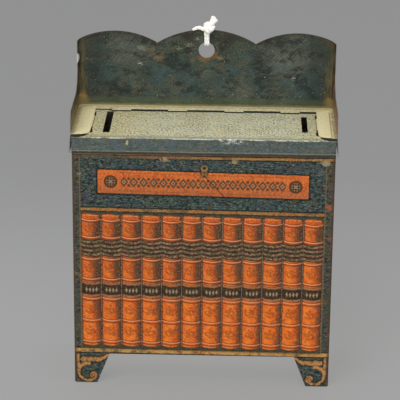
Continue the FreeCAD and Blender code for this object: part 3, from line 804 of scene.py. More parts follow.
def printed_front(palette, layout):
    """Front and sides: pebbled cloth, gilt lines, plaque, books and foot scrolls; bare tin inside."""
    paint = Finish("printed_front")
    half_width = BODY_HIGH.x
    half_depth = -BODY_LOW.y
    skin = paint.rounded(
        (abs(paint.x) - (half_width - BODY_CORNER), abs(paint.y) - (half_depth - BODY_CORNER)), BODY_CORNER
    )
    outside = paint.ramp(skin, -0.6 * SHEET, -0.4 * SHEET)
    corner = (half_width - abs(paint.x)).most(half_depth - abs(paint.y))
    on_front = paint.ramp(paint.y, -half_depth + 0.5, -half_depth + 0.3)

    ground = pebbled_cloth(paint, palette)
    ground = paint.wash(ground, corner, (4.2, 3.2), 0.3, BORDER_FILM)
    flecks = paint.noise(0.9, detail=2.0, roughness=0.7, seed=53) + paint.ramp(corner, 5.0, 3.0) * 0.06
    ground = paint.wash(ground, flecks, (0.63, 0.72), 0.5, palette.bronze)
    ground = gilt_frame(paint, ground, palette, layout, corner, on_front)
    ragged = paint.noise(1.4, detail=3.0, roughness=0.7, seed=42)
    face = orange_plaque(paint, ground, palette, layout)
    face = keyhole(paint, face, palette, layout)
    shelf_height = paint.z - layout.slope * paint.x - mm(layout.shelf_line)
    between = paint.band(paint.x, mm(layout.books_left), mm(layout.books_right), 0.2)
    lined = gilt_line(paint, face, palette, shelf_height, 0.7, 14, 0.72)
    face = paint.mix(between, face, lined)
    left_line = abs(paint.x - mm(layout.books_left) + 0.3)
    right_line = abs(paint.x - mm(layout.books_right) - 0.3)
    upright = paint.ramp(left_line.least(right_line), 0.36, 0.14)
    upright = upright * paint.band(paint.z, mm(layout.rail_line), mm(layout.top_line), 0.4)
    face = paint.mix(upright * 0.7, face, palette.bronze)
    face = book_spines(paint, face, palette, layout)
    for across, height, reach, stain in WEAR_MARKS:
        spread = paint.radius((paint.x - across) * 0.6, paint.z - height) + (ragged - 0.5) * 3.4
        face = paint.wash(face, spread, (reach, reach * 0.5), 0.6, stain)
    ground = paint.mix(on_front, ground, face)
    ground = edge_wear(paint, ground, palette, corner)

    shade = paint.mix(outside, bare_tin(paint, palette), ground)
    return printed_sheet(paint, shade, outside, soft_dents(paint), (0.42, 0.22), 1.5, 0.14)


def soft_dents(paint):
    """Soft unevenness of the sheet of the body and the lid."""
    return paint.noise(6.0, detail=2.0, seed=16)


def printed_sheet(paint, shade, printed, soft, roughness, dents, gloss, metal=0.75, pebbles=0.6):
    """Closes the material of a sheet that is varnished where printed is 1 and bare tin elsewhere.

    The roughness is its least value and how much the noise soft adds to it; dents and pebbles are
    the shares of that noise and of the pebbled ground in the relief.
    """
    least, spread = roughness
    return paint.surface(
        Base_Color=shade,
        Metallic=(1.0 - printed) * metal,
        Roughness=least + soft * spread,
        Normal=paint.bump(pebble_relief(paint) * pebbles + soft * dents),
        Specular_IOR_Level=gloss,
    )


def gilt_frame(paint, ground, palette, layout, corner, on_front):
    """The gilt lines that run round the body at its top and its rail, and the scrolls of the feet."""
    top_height = paint.z - mm(layout.top_line)
    # Painted shade: the body is darkened above the top line, where the lid's skirt shades it.
    shadow_under_skirt = paint.ramp(top_height, 0.4, 0.7)
    ground = paint.mix(shadow_under_skirt * 0.8, ground, SHADOW_UNDER_SKIRT)
    ground = paint.mix(paint.band(top_height, 0.95, 1.4, 0.15) * 0.8, ground, worn_gilt(paint, palette, 52))
    lined = gilt_line(paint, ground, palette, top_height, 0.6, 12, 0.75)
    faded = (paint.ramp(paint.x, 8.0, -20.0) * 0.55 + paint.ramp(paint.x, -22.0, -36.0) * 0.3) * on_front
    ground = paint.mix(faded, lined, ground)
    rail_height = paint.z - mm(layout.rail_line) + paint.x * on_front * 0.005
    ground = gilt_line(paint, ground, palette, rail_height, 0.95, 13)
    patches = paint.noise(2.6, detail=2.0, seed=54)
    on_rail = paint.ramp(abs(rail_height), 0.9, 0.6)
    ground = paint.mix(on_rail * paint.ramp(patches, 0.46, 0.56) * 0.8, ground, BRIGHT_RAIL)
    ground = paint.mix(on_rail * paint.ramp(patches, 0.40, 0.32) * 0.7, ground, DARK_RAIL)
    return foot_scrolls(paint, ground, palette, corner)


def edge_wear(paint, ground, palette, corner):
    """Brown rubbing and orange chips along the upright edges of the body."""
    rub = paint.noise(2.2, detail=3.0, roughness=0.7, seed=15)
    edge = paint.ramp(corner + (rub - 0.5) * 2.2, 1.7, 0.5)
    ground = paint.mix(edge * 0.75, ground, palette.umber)
    chips = paint.ramp(corner, 1.6, 0.6) * paint.ramp(rub, 0.60, 0.68)
    ground = paint.mix(chips * 0.55, ground, palette.leather_red)
    dark = paint.ramp(corner, 0.5, 0.1)
    return paint.mix(dark * 0.6, ground, palette.ink)


def printed_back(palette, layout):
    """Back panel: pebbled cloth with the two gilt lines and the foot scrolls; bare tin inside."""
    paint = Finish("printed_back")
    low, high = box_mm("back_panel")
    middle = 0.5 * (low.y + high.y)
    outside = paint.ramp(paint.y, middle - 0.03, middle + 0.03)
    corner = BODY_HIGH.x - abs(paint.x)
    ground = pebbled_cloth(paint, palette)
    ground = gilt_frame(paint, ground, palette, layout, corner, 0.0)
    ground = edge_wear(paint, ground, palette, high.x - abs(paint.x))
    shade = paint.mix(outside, bare_tin(paint, palette), ground)
    return printed_sheet(paint, shade, outside, soft_dents(paint), (0.42, 0.22), 1.5, 0.22)


def bare_tinplate(palette):
    """Bottom plate: dull tinned sheet."""
    paint = Finish("bare_tinplate")
    cloud = paint.noise(7.0, detail=3.0, seed=17)
    scratches = paint.noise(0.6, detail=2.0, seed=18, stretch=(14.0, 1.0, 1.0))
    return paint.surface(
        Base_Color=bare_tin(paint, palette),
        Metallic=0.8,
        Roughness=0.38 + cloud * 0.3,
        Normal=paint.bump(scratches * 0.4 + cloud),
    )


def cream_top(paint, palette):
    """Cream paint with worn specks, yellower at the sides."""
    stipple = paint.noise(0.8, detail=2.0, roughness=0.7, seed=19, stretch=(1.0, 1.6, 1.0))
    patch = paint.noise(8.0, detail=3.0, roughness=0.6, seed=20)
    sides = paint.ramp(abs(paint.x - 8.0), 24.0, 46.0)
    ground = paint.mix(sides * 0.8 + paint.ramp(patch, 0.48, 0.7) * 0.4, palette.cream, palette.straw)
    cool = paint.noise(5.0, detail=2.0, seed=48)
    ground = paint.wash(ground, cool, (0.54, 0.66), 0.45, COOL_CREAM)
    ground = paint.wash(ground, cool, (0.46, 0.36), 0.4, WARM_CREAM)
    specks = paint.ramp(stipple + paint.ramp(patch, 0.40, 0.62) * 0.04, 0.50, 0.64)
    ground = paint.mix(specks * 0.8, ground, palette.stipple)
    bright = paint.ramp(stipple, 0.46, 0.36)
    ground = paint.mix(bright * 0.55, ground, palette.chip)
    spots = paint.noise(1.4, detail=2.0, roughness=0.7, seed=21)
    return paint.wash(ground, spots, (0.67, 0.73), 0.8, palette.umber)


def flange_seam(paint):
    """How a point of the lid lies to the gallery's flanges.

    1 on their tabs, its distances from the back and the side flanges, and how far forward it is of
    the start of their rounded noses.
    """
    tab = abs((paint.x % TAB_PITCH) - 0.5 * TAB_PITCH)
    on_tab = paint.ramp(tab, 0.5 * TAB_WIDTH + 0.15, 0.5 * TAB_WIDTH - 0.15)
    back = (GALLERY_HIGH.y - BACK_FLANGE) - on_tab * TAB_REACH - paint.y
    inner_edge = GALLERY_HIGH.x - SIDE_FLANGE
    front_edge = GALLERY_LOW.y
    inward = (inner_edge + FLANGE_NOSE) - abs(paint.x)
    forward = (front_edge + FLANGE_NOSE) - paint.y
    side = paint.rounded((inward, forward), FLANGE_NOSE)
    return on_tab, back, side, forward


# Marks on the lid in millimetres. The crease is where the top turns down into the front skirt.
CREASE_Y = -20.9
LID_NICK = (-31.8, 110.4)
LID_SCRAPE = (7.0, 18.0)


def printed_lid(palette):
    """Lid: cream top with painted shadow in the gallery's seams, worn skirts, chipped creases; bare tin
    inside.
    """
    paint = Finish("printed_lid")
    top = LID_HIGH.z
    half_depth = LID_HIGH.y
    half_width = LID_HIGH.x - (top - LID_LOW.z) * math.tan(SKIRT_SPLAY)
    splay = (top - paint.z) * math.tan(SKIRT_SPLAY)
    skin = paint.rounded(
        (
            abs(paint.x) - splay - (half_width - LID_FOLD),
            abs(paint.y) - (half_depth - LID_FOLD),
            paint.z - (top - LID_FOLD),
        ),
        LID_FOLD,
    )
    outside = paint.ramp(skin, -0.6 * SHEET, -0.4 * SHEET)
    ground = worn_skirt(paint, palette)
    rub = paint.noise(1.5, detail=3.0, roughness=0.75, seed=22)
    long_rub = paint.noise(9.0, detail=2.0, seed=23)
    stain = paint.noise(2.0, detail=2.0, seed=50)
    on_top = paint.ramp(paint.z + (rub - 0.5) * 0.5, top - 0.42, top - 0.22)
    ground = paint.mix(on_top, ground, lid_cream(paint, palette, rub, stain))
    ground = lid_chips(paint, ground, palette, rub, long_rub)
    shade = paint.mix(outside, bare_tin(paint, palette), ground)
    for middle_x, half_slot_width, half_slot_length in COIN_SLOTS:
        beyond = abs(paint.x - middle_x) - half_slot_width
        beyond = beyond.most(abs(paint.y - COIN_SLOT_Y) - half_slot_length)
        shade = paint.mix(paint.ramp(beyond, 0.16, 0.05), shade, palette.ink)
    return printed_sheet(paint, shade, outside, soft_dents(paint), (0.45, 0.22), 2.0, 0.22)


def worn_skirt(paint, palette):
    """Pebbled cloth rubbed grey, blue and olive, darker at the hem, with a pale painted highlight over it."""
    ground = pebbled_cloth(paint, palette)
    worn = paint.noise(0.42, detail=1.0, roughness=0.6, seed=32, stretch=(1.5, 1.5, 1.0))
    ground = paint.mix(0.22 + paint.ramp(worn, 0.36, 0.64) * 0.3, ground, RUBBED_SKIRT)
    patch = paint.noise(2.4, detail=2.0, seed=55, stretch=(1.8, 1.8, 1.0), wavy=0.5)
    ground = paint.wash(ground, patch, (0.53, 0.64), 0.45, BLUE_SKIRT)
    ground = paint.wash(ground, patch, (0.45, 0.35), 0.45, OLIVE_SKIRT)
    above_hem = paint.z - LID_LOW.z
    ground = paint.wash(ground, above_hem, (1.0, 0.6), 0.75, palette.soot)
    # Painted highlight: a pale line over the hem, along its crease.
    return paint.mix(paint.band(above_hem, 1.15, 1.35, 0.12) * 0.3, ground, palette.cream)


def lid_cream(paint, palette, rub, stain):
    """Cream top, darker behind the front crease, with painted shadow in the gaps along the gallery's flanges.
    """
    cream = cream_top(paint, palette)
    # Darker in a strip behind the front crease.
    behind_crease = paint.ramp(paint.y + (rub - 0.5) * 2.0, CREASE_Y + 3.1, CREASE_Y + 0.5)
    cream = paint.mix(behind_crease * 0.5, cream, CREASE_STRIP)
    on_tab, back, side, forward = flange_seam(paint)
    # Painted shadow: dark lines along the back flange's edge, lighter where its tabs go into the lid, dark
    # crescents under the side flanges' lifted noses and short dark marks at their slit ends.
    closed = on_tab.most(paint.ramp(paint.x, -40.5, -42.5))
    seam_shadow = paint.ramp(back + closed * 1.1, 2.3, 1.9) * paint.ramp(abs(paint.x), 48.4, 47.8)
    gape = 0.5 + paint.ramp(abs(paint.x), 46.5, 52.0) * 2.4
    nose_shadow = paint.ramp(side - gape, 0.2, -0.2) * paint.ramp(forward, 1.6, 3.0)
    nose_shadow = nose_shadow * paint.ramp(abs(paint.x), 48.2, 49.0)
    slit = paint.ramp(side, 0.62, 0.42) * paint.ramp(forward, 1.2, 1.0) * paint.ramp(stain, 0.40, 0.56)
    tick_shadow = paint.ramp(side, 1.1, 0.8) * paint.band(forward, -2.4, 1.6, 0.2)
    cream = paint.mix(slit * 0.5, cream, palette.umber)
    cream = paint.mix(seam_shadow * 0.97, cream, paint.mix(closed * 0.7, palette.ink, palette.umber))
    return paint.mix(nose_shadow.most(tick_shadow) * 0.97, cream, palette.ink)


def lid_chips(paint, ground, palette, rub, long_rub):
    """Chips along the front crease, and a scrape and a nick in the front skirt."""
    top = LID_HIGH.z
    crease = paint.band(paint.z, top - 0.5, top - 0.2, 0.12) * paint.ramp(paint.y, CREASE_Y + 0.5, CREASE_Y)
    rightward = paint.ramp(paint.x, -40.0, 8.0) * 0.14 - paint.ramp(paint.x, 44.0, 52.0) * 0.1
    chips = crease * paint.ramp(rub + (long_rub - 0.5) * 0.9 + rightward, 0.58, 0.66)
    ground = paint.mix(chips * 0.65, ground, palette.chip)
    scrape = paint.band(paint.x, *LID_SCRAPE, 1.5) * paint.ramp(rub, 0.51, 0.60)
    scrape = scrape * paint.ramp(top - paint.z, 2.6, 1.2)
    nick = paint.radius((paint.x - LID_NICK[0]) * 1.6, (paint.z - LID_NICK[1]) * 0.6)
    nick = paint.ramp(nick + (rub - 0.5) * 2.0, 0.85, 0.5)
    on_skirt = paint.ramp(paint.y, CREASE_Y, CREASE_Y - 0.4)
    ground = paint.mix(scrape * on_skirt * 0.75, ground, palette.chip)
    return paint.mix(nick * on_skirt * 0.6, ground, palette.straw)


def scallop_depth(paint):
    """How far a point of the splash lies below its scalloped edge, across the sheet."""
    rise = CREST_TOP - VALLEY_TOP
    middle_radius = (VALLEY_REACH * VALLEY_REACH + rise * rise) / (2.0 * rise)
    middle = middle_radius - paint.radius(paint.x, paint.z - (CREST_TOP - middle_radius))
    centre_x = 0.5 * (VALLEY_REACH + GALLERY_HIGH.x)
    half = GALLERY_HIGH.x - centre_x
    rise = SIDE_TOP - VALLEY_TOP
    side_radius = (half * half + rise * rise) / (2.0 * rise)
    side = side_radius - paint.radius(abs(paint.x) - centre_x, paint.z - (SIDE_TOP - side_radius))
    return middle.most(side)


# Marks and painted light on the gallery in millimetres: places beside the middle and heights, the height of
# the painted glint on the left wing, where the wings begin and the heights between which the splash is
# bluish.
LOBE_SHEEN = (34.0, 135.5)
CREST_STAIN = (8.0, 144.2)
CORNER_STAIN = (53.4, 115.2)
VALLEY_RUST = (-22.0, 138.5)
WING_GLINT_Z = 135.0
WING_Y = 15.5
BLUE_ROWS = (117.5, 132.0)


def splash_ground(paint, palette):
    """Dark green ground: bluish middle, painted side shade, pale haze and painted sheen, brown smears,
    scratches.
    """
    grain = paint.noise(0.5, detail=2.0, roughness=0.7, seed=1)
    haze = paint.noise(14.0, detail=3.0, roughness=0.55, seed=24)
    smear = paint.noise(5.0, detail=4.0, roughness=0.65, seed=33, stretch=(1.6, 1.0, 1.0))
    # Painted sheen: a pale patch high on each of the lobes, laid on with the haze.
    lobe_sheen = paint.radius(abs(paint.x) - LOBE_SHEEN[0], (paint.z - LOBE_SHEEN[1] + paint.x * 0.05) * 1.2)
    pale = paint.ramp(haze, 0.52, 0.70) * 0.7
    pale = pale.most(paint.ramp(lobe_sheen + (smear - 0.5) * 18.0, 13.0, 3.0))
    pale = pale * (0.8 + paint.ramp(paint.x, -25.0, 15.0) * 0.3)
    ground = paint.mix(paint.ramp(grain, 0.38, 0.62), SPLASH_DARK, SPLASH_LIGHT)
    blue = paint.band(paint.z + (smear - 0.5) * 8.0, *BLUE_ROWS, 1.5) * paint.ramp(haze, 0.60, 0.44)
    ground = paint.mix(blue * 0.45, ground, SPLASH_BLUE)
    ground = paint.mix(pale * 0.5, ground, SPLASH_HAZE_AND_SHEEN)
    ground = paint.wash(ground, smear, (0.52, 0.38), 0.55, SPLASH_BLACK)
    ground = paint.wash(ground, smear, (0.57, 0.70), 0.4, SPLASH_BROWN)
    for seed, size, start, full, strength, tint in SPLASH_BLOTCHES:
        blotch = paint.noise(size, detail=3.0, roughness=0.6, seed=seed, stretch=(1.8, 1.0, 1.0))
        ground = paint.wash(ground, blotch, (start, full), strength, tint)
    # The scratches show more where the haze and the painted sheen are pale.
    for seed, slant in ((47, 0.75), (56, -0.35)):
        scratch = paint.noise(0.5, detail=2.0, roughness=0.7, seed=seed, stretch=(7.0, 1.0, 1.0), slant=slant)
        scratch = paint.ramp(scratch, 0.53, 0.67) * (0.12 + pale * 0.25)
        ground = paint.mix(scratch, ground, SCRATCH)
    # Painted shade: darker towards both sides of the splash.
    sides = paint.ramp(abs(paint.x) + (smear - 0.5) * 8.0, 41.0, 46.5)
    ground = paint.mix(sides * 0.5, ground, SPLASH_SIDE_SHADOW)
    specks = paint.noise(0.9, detail=1.0, seed=40)
    return paint.wash(ground, specks, (0.74, 0.80), 0.5, palette.straw)


def printed_gallery(palette):
    """Gallery: dark green splash and wings, cream flanges, brown wear; bare tin behind."""
    paint = Finish("printed_gallery")
    top = LID_HIGH.z + SHEET
    plan = paint.rounded(
        (
            abs(paint.x) - (GALLERY_HIGH.x - GALLERY_BEND),
            paint.y - (GALLERY_HIGH.y - GALLERY_BEND),
        ),
        GALLERY_BEND,
    )
    inner = paint.ramp(plan, -0.4 * SHEET, -0.6 * SHEET)
    upper = paint.ramp(paint.z, top - 0.6 * SHEET, top - 0.4 * SHEET)
    printed = inner * upper
    streak = paint.noise(1.3, detail=3.0, seed=25, stretch=(1.0, 1.0, 5.0))
    smear = paint.noise(3.6, detail=4.0, roughness=0.65, seed=33, stretch=(1.8, 1.0, 1.0))
    ground = splash_ground(paint, palette)
    depth = scallop_depth(paint)
    nicks = paint.noise(1.3, detail=3.0, roughness=0.7, seed=34)
    ground = splash_rim(paint, ground, palette, depth, smear, nicks)
    ground = splash_bends(paint, ground, palette, streak, smear)
    ground = splash_stains(paint, ground, palette, smear, nicks)
    green = paint.ramp(paint.z + (smear - 0.5) * 2.0, top + 5.0, top + 3.2)
    ground = paint.mix(green * 0.5, ground, BASE_GREEN)
    base = paint.ramp(paint.z + (smear - 0.5) * 1.4, top + 1.7, top + 0.8)
    ground = paint.mix(base * 0.75, ground, BASE_STRAW)
    cream = flange_cream(paint, palette, plan, smear)
    flange = paint.ramp(paint.z + (streak - 0.5) * 0.4, top + 0.6, top + 0.35)
    ground = paint.mix(flange, ground, cream)
    on_wing = paint.ramp(paint.y, WING_Y + 2.0, WING_Y)
    rusty = paint.ramp(paint.x, 53.6, 54.3) * paint.ramp(streak, 0.36, 0.56) * on_wing
    ground = paint.mix(rusty * 0.65, ground, WING_RUST)
    ground = paint.mix(paint.band(paint.x, 53.0, 53.5, 0.2) * on_wing * 0.55, ground, palette.soot)
    shade = paint.mix(printed, bare_tin(paint, palette), ground)
    shade = gallery_edges(paint, shade, palette, plan, upper, depth, streak)
    soft = paint.noise(9.0, detail=2.0, seed=27)
    return printed_sheet(paint, shade, printed, soft, (0.40, 0.24), 2.5, 0.18, metal=0.7, pebbles=0.5)


def splash_rim(paint, ground, palette, depth, smear, nicks):
    """Dark stain at the crest and dark, rubbed rim along the scallops."""
    crest = paint.radius(abs(paint.x - 1.0) - CREST_STAIN[0], (paint.z - CREST_STAIN[1]) * 1.6)
    crest = paint.ramp(crest + (smear - 0.5) * 12.0, 6.0, 2.0)
    rim = paint.ramp(depth + (smear - 0.5) * 4.0, 1.8, 0.3)
    ground = paint.mix((rim * 0.6).most(crest * 0.64), ground, palette.soot)
    rubbed_edge = paint.ramp(depth, 0.7, 0.3) * paint.ramp(nicks, 0.52, 0.60)
    return paint.mix(rubbed_edge * 0.7, ground, palette.moss)


def splash_bends(paint, ground, palette, streak, smear):
    """Brown strips at the bends that fade upwards, painted shade on the wings and rust in the lower corners.
    """
    beside = abs(paint.x) + (streak - 0.5) * 2.0 + (smear - 0.5) * 4.0
    bend = paint.ramp(beside, GALLERY_HIGH.x - 4.8, GALLERY_HIGH.x - 2.2)
    strip = paint.mix(paint.ramp(streak, 0.40, 0.60), DARK_BEND, PALE_BEND)
    lower = 0.5 + paint.ramp(paint.z + (smear - 0.5) * 10.0, 141.0, 125.0) * 0.5
    ground = paint.mix(bend * lower * 0.7, ground, strip)
    # Painted shade: the wings are darkened to soot and olive.
    wing = paint.ramp(abs(paint.x), GALLERY_HIGH.x - 1.6, GALLERY_HIGH.x - 0.7) * 0.8
    ground = paint.mix(wing, ground, paint.mix(paint.ramp(streak, 0.4, 0.6), palette.soot, palette.olive))
    corner = paint.radius(abs(paint.x) - CORNER_STAIN[0], (paint.z - CORNER_STAIN[1]) * 0.8)
    rust = paint.ramp(corner + (smear - 0.5) * 8.0, 3.8, 1.0)
    return paint.mix(rust * 0.8, ground, CORNER_RUST)


def splash_stains(paint, ground, palette, smear, nicks):
    """Rust under the hang hole, brown specks and the worn spots of the splash."""
    over_hole = paint.z - HANG_HOLE_Z
    round_hole = paint.radius(paint.x, over_hole) + (smear - 0.5) * 3.0
    stain = paint.ramp(round_hole, 5.6, 4.2) * paint.ramp(over_hole - paint.x * 0.3, -0.6, -2.6)
    ground = paint.mix(stain * 0.5, ground, palette.rust)
    near_valley = paint.radius((paint.x - VALLEY_RUST[0]) * 0.7, paint.z - VALLEY_RUST[1])
    near_valley = paint.ramp(near_valley, 6.0, 2.0)
    near_hole = paint.ramp(paint.radius(paint.x * 0.6, over_hole + 1.0), 8.0, 3.0)
    specks = paint.ramp(nicks + near_valley.most(near_hole) * 0.08, 0.60, 0.68)
    ground = paint.mix(specks * near_valley.most(near_hole) * 0.5, ground, RUST_SPECK)
    grit = paint.noise(0.8, detail=3.0, roughness=0.75, seed=57)
    for across, height, reach, tint in SPLASH_MARKS:
        spread = paint.radius((paint.x - across) * 0.6, paint.z - height) + (grit - 0.5) * 6.0
        ground = paint.wash(ground, spread, (reach, reach * 0.3), 0.65, tint)
    return ground


def flange_cream(paint, palette, plan, smear):
    """Yellowed flange cream with painted light at the sides and painted shade at the back; brown along the
    folds.
    """
    inner_edge = GALLERY_HIGH.x - SIDE_FLANGE
    side = paint.ramp(abs(paint.x), inner_edge - 1.0, inner_edge + 1.0)
    # Partly painted light: the lighter flange colour is laid on more strongly at the sides, against the
    # wings' shade.
    cream = paint.mix(0.3 + side * 0.5, cream_top(paint, palette), palette.flange)
    mottle = paint.noise(1.1, detail=3.0, roughness=0.7, seed=49)
    cream = paint.wash(cream, mottle, (0.46, 0.36), 0.5, PALE_FLANGE)
    cream = paint.wash(cream, mottle, (0.52, 0.66), 0.4, DULL_FLANGE)
    fold = paint.ramp(plan + (smear - 0.5) * 3.0, -2.6, -0.6)
    cream = paint.mix(fold * 0.65, cream, FOLD_BROWN)
    # Painted shade: darker at the back, close under the splash.
    behind = paint.ramp(paint.y + (smear - 0.5) * 2.0, GALLERY_HIGH.y - 1.8, GALLERY_HIGH.y - 0.6)
    return paint.mix(behind * 0.2, cream, SHADOW_BY_SPLASH)


def gallery_edges(paint, shade, palette, plan, upper, depth, streak):
    """Brown and red edges of the cut sheet, dark flange edges partly of painted shadow, a painted glint on
    the left wing.
    """
    edge = paint.ramp(plan, -0.24, -0.14)
    shade = paint.mix(edge * upper * 0.6, shade, palette.umber)
    cut_edge = paint.ramp(depth, 0.25, 0.08) * paint.ramp(paint.y, GALLERY_HIGH.y - 2.0, GALLERY_HIGH.y - 1.0)
    shade = paint.mix(cut_edge * 0.85, shade, CUT_EDGE)
    red = paint.ramp(paint.x, GALLERY_HIGH.x - 0.8, GALLERY_HIGH.x - 0.3) * paint.ramp(streak, 0.46, 0.56)
    shade = paint.mix(red * upper * 0.55, shade, RED_EDGE)
    # Painted glint: a pale spot in the chip colour on the left wing's edge.
    chip = paint.radius((paint.x - GALLERY_LOW.x) * 1.3, (paint.z - WING_GLINT_Z) * 0.45)
    shade = paint.wash(shade, chip + (streak - 0.5) * 0.8, (1.1, 0.7), 0.9, palette.chip)
    top = LID_HIGH.z + SHEET
    # Partly painted shadow: the flanges' cut edges are coloured ink, for their dark metal and the shade of
    # the gap under them.
    cut = paint.ramp(paint.z, top - 0.03, top - 0.09) * paint.ramp(plan, -2.0, -3.0)
    inner_edge = paint.band(abs(paint.x), GALLERY_HIGH.x - SIDE_FLANGE - 0.4, 49.5, 0.2)
    inner_edge = inner_edge * paint.ramp(paint.y, 16.6, 15.6)
    return paint.mix(cut, shade, paint.mix(inner_edge * 0.85, palette.ink, palette.straw))


def cotton_string(palette):
    """White twisted cotton with fine fibres."""
    paint = Finish("cotton_string")
    fibre = paint.noise(0.2, detail=3.0, roughness=0.7, seed=28, stretch=(1.0, 1.0, 3.0))
    dirt = paint.noise(2.5, detail=2.0, seed=29)
    shade = paint.mix(paint.ramp(fibre, 0.35, 0.55), COTTON_SHADE, palette.cotton)
    shade = paint.wash(shade, dirt, (0.58, 0.78), 0.3, SOILED_COTTON)
    return paint.surface(
        Base_Color=shade,
        Roughness=0.82 + fibre * 0.15,
        Normal=paint.bump(fibre),
        Sheen_Weight=0.25,
        Sheen_Roughness=0.5,
    )


def pale_floor(studio):
    """Plain matt floor. The camera and mirrored rays see part of its brightness as a glow."""
    paint = Finish("pale_floor")
    grain = paint.noise(30.0, detail=2.0, seed=30)
    seen = paint.add("ShaderNodeLightPath", output="Is Camera Ray")
    for ray in ("Is Glossy Ray", "Is Transmission Ray"):
        seen = seen.most(paint.add("ShaderNodeLightPath", output=ray))
    # Painted light: the glow is brighter near the box and brightest between its feet, where its shadow falls.
    glow = paint.mix(paint.ramp(paint.y, 20.0, 300.0), studio.near_glow, studio.floor_glow)
    light_pool_under_box = paint.ramp(abs(paint.x), 64.0, 40.0) * paint.band(paint.y, -8.0, 44.0, 14.0)
    glow = paint.mix(light_pool_under_box, glow, studio.under_glow)
    return paint.surface(
        Base_Color=paint.mix(seen, studio.floor, studio.floor_seen),
        Roughness=0.75 + grain * 0.1,
        Specular_IOR_Level=0.2,
        Emission_Color=paint.mix(seen, NO_GLOW, glow),
        Emission_Strength=1.0,
    )


def dress(node, material):
    """Gives a CAD node one finish all over."""
    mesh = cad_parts[node].data
    mesh.materials.clear()
    mesh.materials.append(material)


# Control points of the string's line, in millimetres: out of the knot, down in front of the splash, through
# the hang hole, up behind it, over the crest and the same again beside it.
FRONT_Y = 20.45
HOLE_Y = 21.45
BEHIND_Y = 22.45
STRING_ROUTE = (
    (-0.3, 19.8, 149.2), (-0.7, 20.2, 147.8), (-0.52, FRONT_Y, 145.0), (-0.42, FRONT_Y, 142.4),
    (-0.42, 20.55, 141.2), (-0.42, HOLE_Y, 140.9), (-0.42, 22.35, 141.2), (-0.42, BEHIND_Y, 142.4),
    (-0.55, BEHIND_Y, 145.0), (-0.6, BEHIND_Y, 147.8), (-0.3, 21.9, 149.5), (0.3, 20.9, 149.5),
    (0.5, 20.2, 147.8), (0.52, FRONT_Y, 145.0), (0.62, FRONT_Y, 142.4),
    (0.62, 20.55, 141.2), (0.62, HOLE_Y, 140.9), (0.62, 22.35, 141.2), (0.62, BEHIND_Y, 142.4),
    (0.65, BEHIND_Y, 145.0), (0.6, BEHIND_Y, 147.8), (1.0, 21.4, 149.6),
)
LEFT_END = (
    (0.4, 19.8, 148.7), (-1.4, 19.8, 148.1), (-3.0, 19.8, 148.9), (-4.7, 19.7, 148.7), (-6.1, 19.6, 147.8),
)
RIGHT_END_PLIES = (
    ((1.2, 20.4, 149.8), (2.1, 20.5, 151.4), (2.6, 20.6, 152.6), (3.0, 20.6, 153.7)),
    ((1.8, 20.1, 149.8), (2.6, 20.0, 151.0), (3.5, 20.0, 151.9), (4.3, 20.0, 152.6)),
)
KNOT_CENTRE = (1.0, 20.2, 149.0)

# Thickness of a ply as a share of the string's, and how far apart and how thick the plies of the knot and
# its loose ends are beside that. The ends swell or taper from the first of their two values to the second.
PLY_SHARE = 0.76
KNOT_SPREAD = 1.3
KNOT_SWELL = 1.5
LEFT_SWELL = (1.75, 1.0)
RIGHT_SWELL = (1.7, 2.1)

# Radii of the first two rings of a tube beside its full radius.
ROUNDED_ENDS = (0.45, 0.8)

# Shape of the knot: inner radius and depth beside its reach and swing, and its turn in radians.
KNOT_INNER = 0.6
KNOT_DEPTH = 1.2
KNOT_TURN = 0.35


def smooth_line(points):
    """Points along the NURBS line of some control points in millimetres, as vectors in metres."""
    curve = bpy.data.curves.new("route", "CURVE")
    curve.dimensions = "3D"
    spline = curve.splines.new("NURBS")
    spline.points.add(len(points) - 1)
    for control, point in zip(spline.points, points):
        control.co = (*(Vector(point) * MM), 1.0)
    spline.order_u = 3
    spline.use_endpoint_u = True
    spline.resolution_u = 12
    holder = bpy.data.objects.new("route", curve)
    mesh = bpy.data.meshes.new_from_object(holder)
    line = [vertex.co.copy() for vertex in mesh.vertices]
    bpy.data.objects.remove(holder)
    bpy.data.meshes.remove(mesh)
    bpy.data.curves.remove(curve)
    return line


def frames_along(line):
    """Two directions across the line at each of its points, carried along without twist."""
    sides = []
    side = Vector((1.0, 0.0, 0.0))
    for index in range(len(line)):
        ahead = line[min(index + 1, len(line) - 1)] - line[max(index - 1, 0)]
        ahead.normalize()
        side = side - ahead * side.dot(ahead)
        if side.length < 1e-6:
            side = ahead.orthogonal()
        side = side.normalized()
        sides.append((side.copy(), ahead.cross(side)))
    return sides


def twisted_plies(line, offset, lay, plies=2):
    """The lines of plies that wind round a line at a distance of offset."""
    result = [[] for _ in range(plies)]
    travelled = 0.0
    for index, (point, (side, up)) in enumerate(zip(line, frames_along(line))):
        if index:
            travelled += (point - line[index - 1]).length
        for ply in range(plies):
            turn = math.tau * (travelled / lay + ply / plies)
            result[ply].append(point + (side * math.cos(turn) + up * math.sin(turn)) * offset)
    return result


def add_tube(mesh, line, start_radius, end_radius, sides=8):
    """Adds a closed tube along a line that swells or tapers evenly and has rounded ends."""
    rings = []
    last = len(line) - 1
    for index, (point, (side, up)) in enumerate(zip(line, frames_along(line))):
        radius = start_radius + (end_radius - start_radius) * index / last
        from_end = min(index, last - index)
        radius *= ROUNDED_ENDS[from_end] if from_end < len(ROUNDED_ENDS) else 1.0
        ring = []
        for corner in range(sides):
            turn = math.tau * corner / sides
            ring.append(mesh.verts.new(point + (side * math.cos(turn) + up * math.sin(turn)) * radius))
        rings.append(ring)
    for first, second in zip(rings, rings[1:]):
        for corner in range(sides):
            following = (corner + 1) % sides
            mesh.faces.new((first[corner], first[following], second[following], second[corner]))
    mesh.faces.new(list(reversed(rings[0])))
    mesh.faces.new(rings[-1])


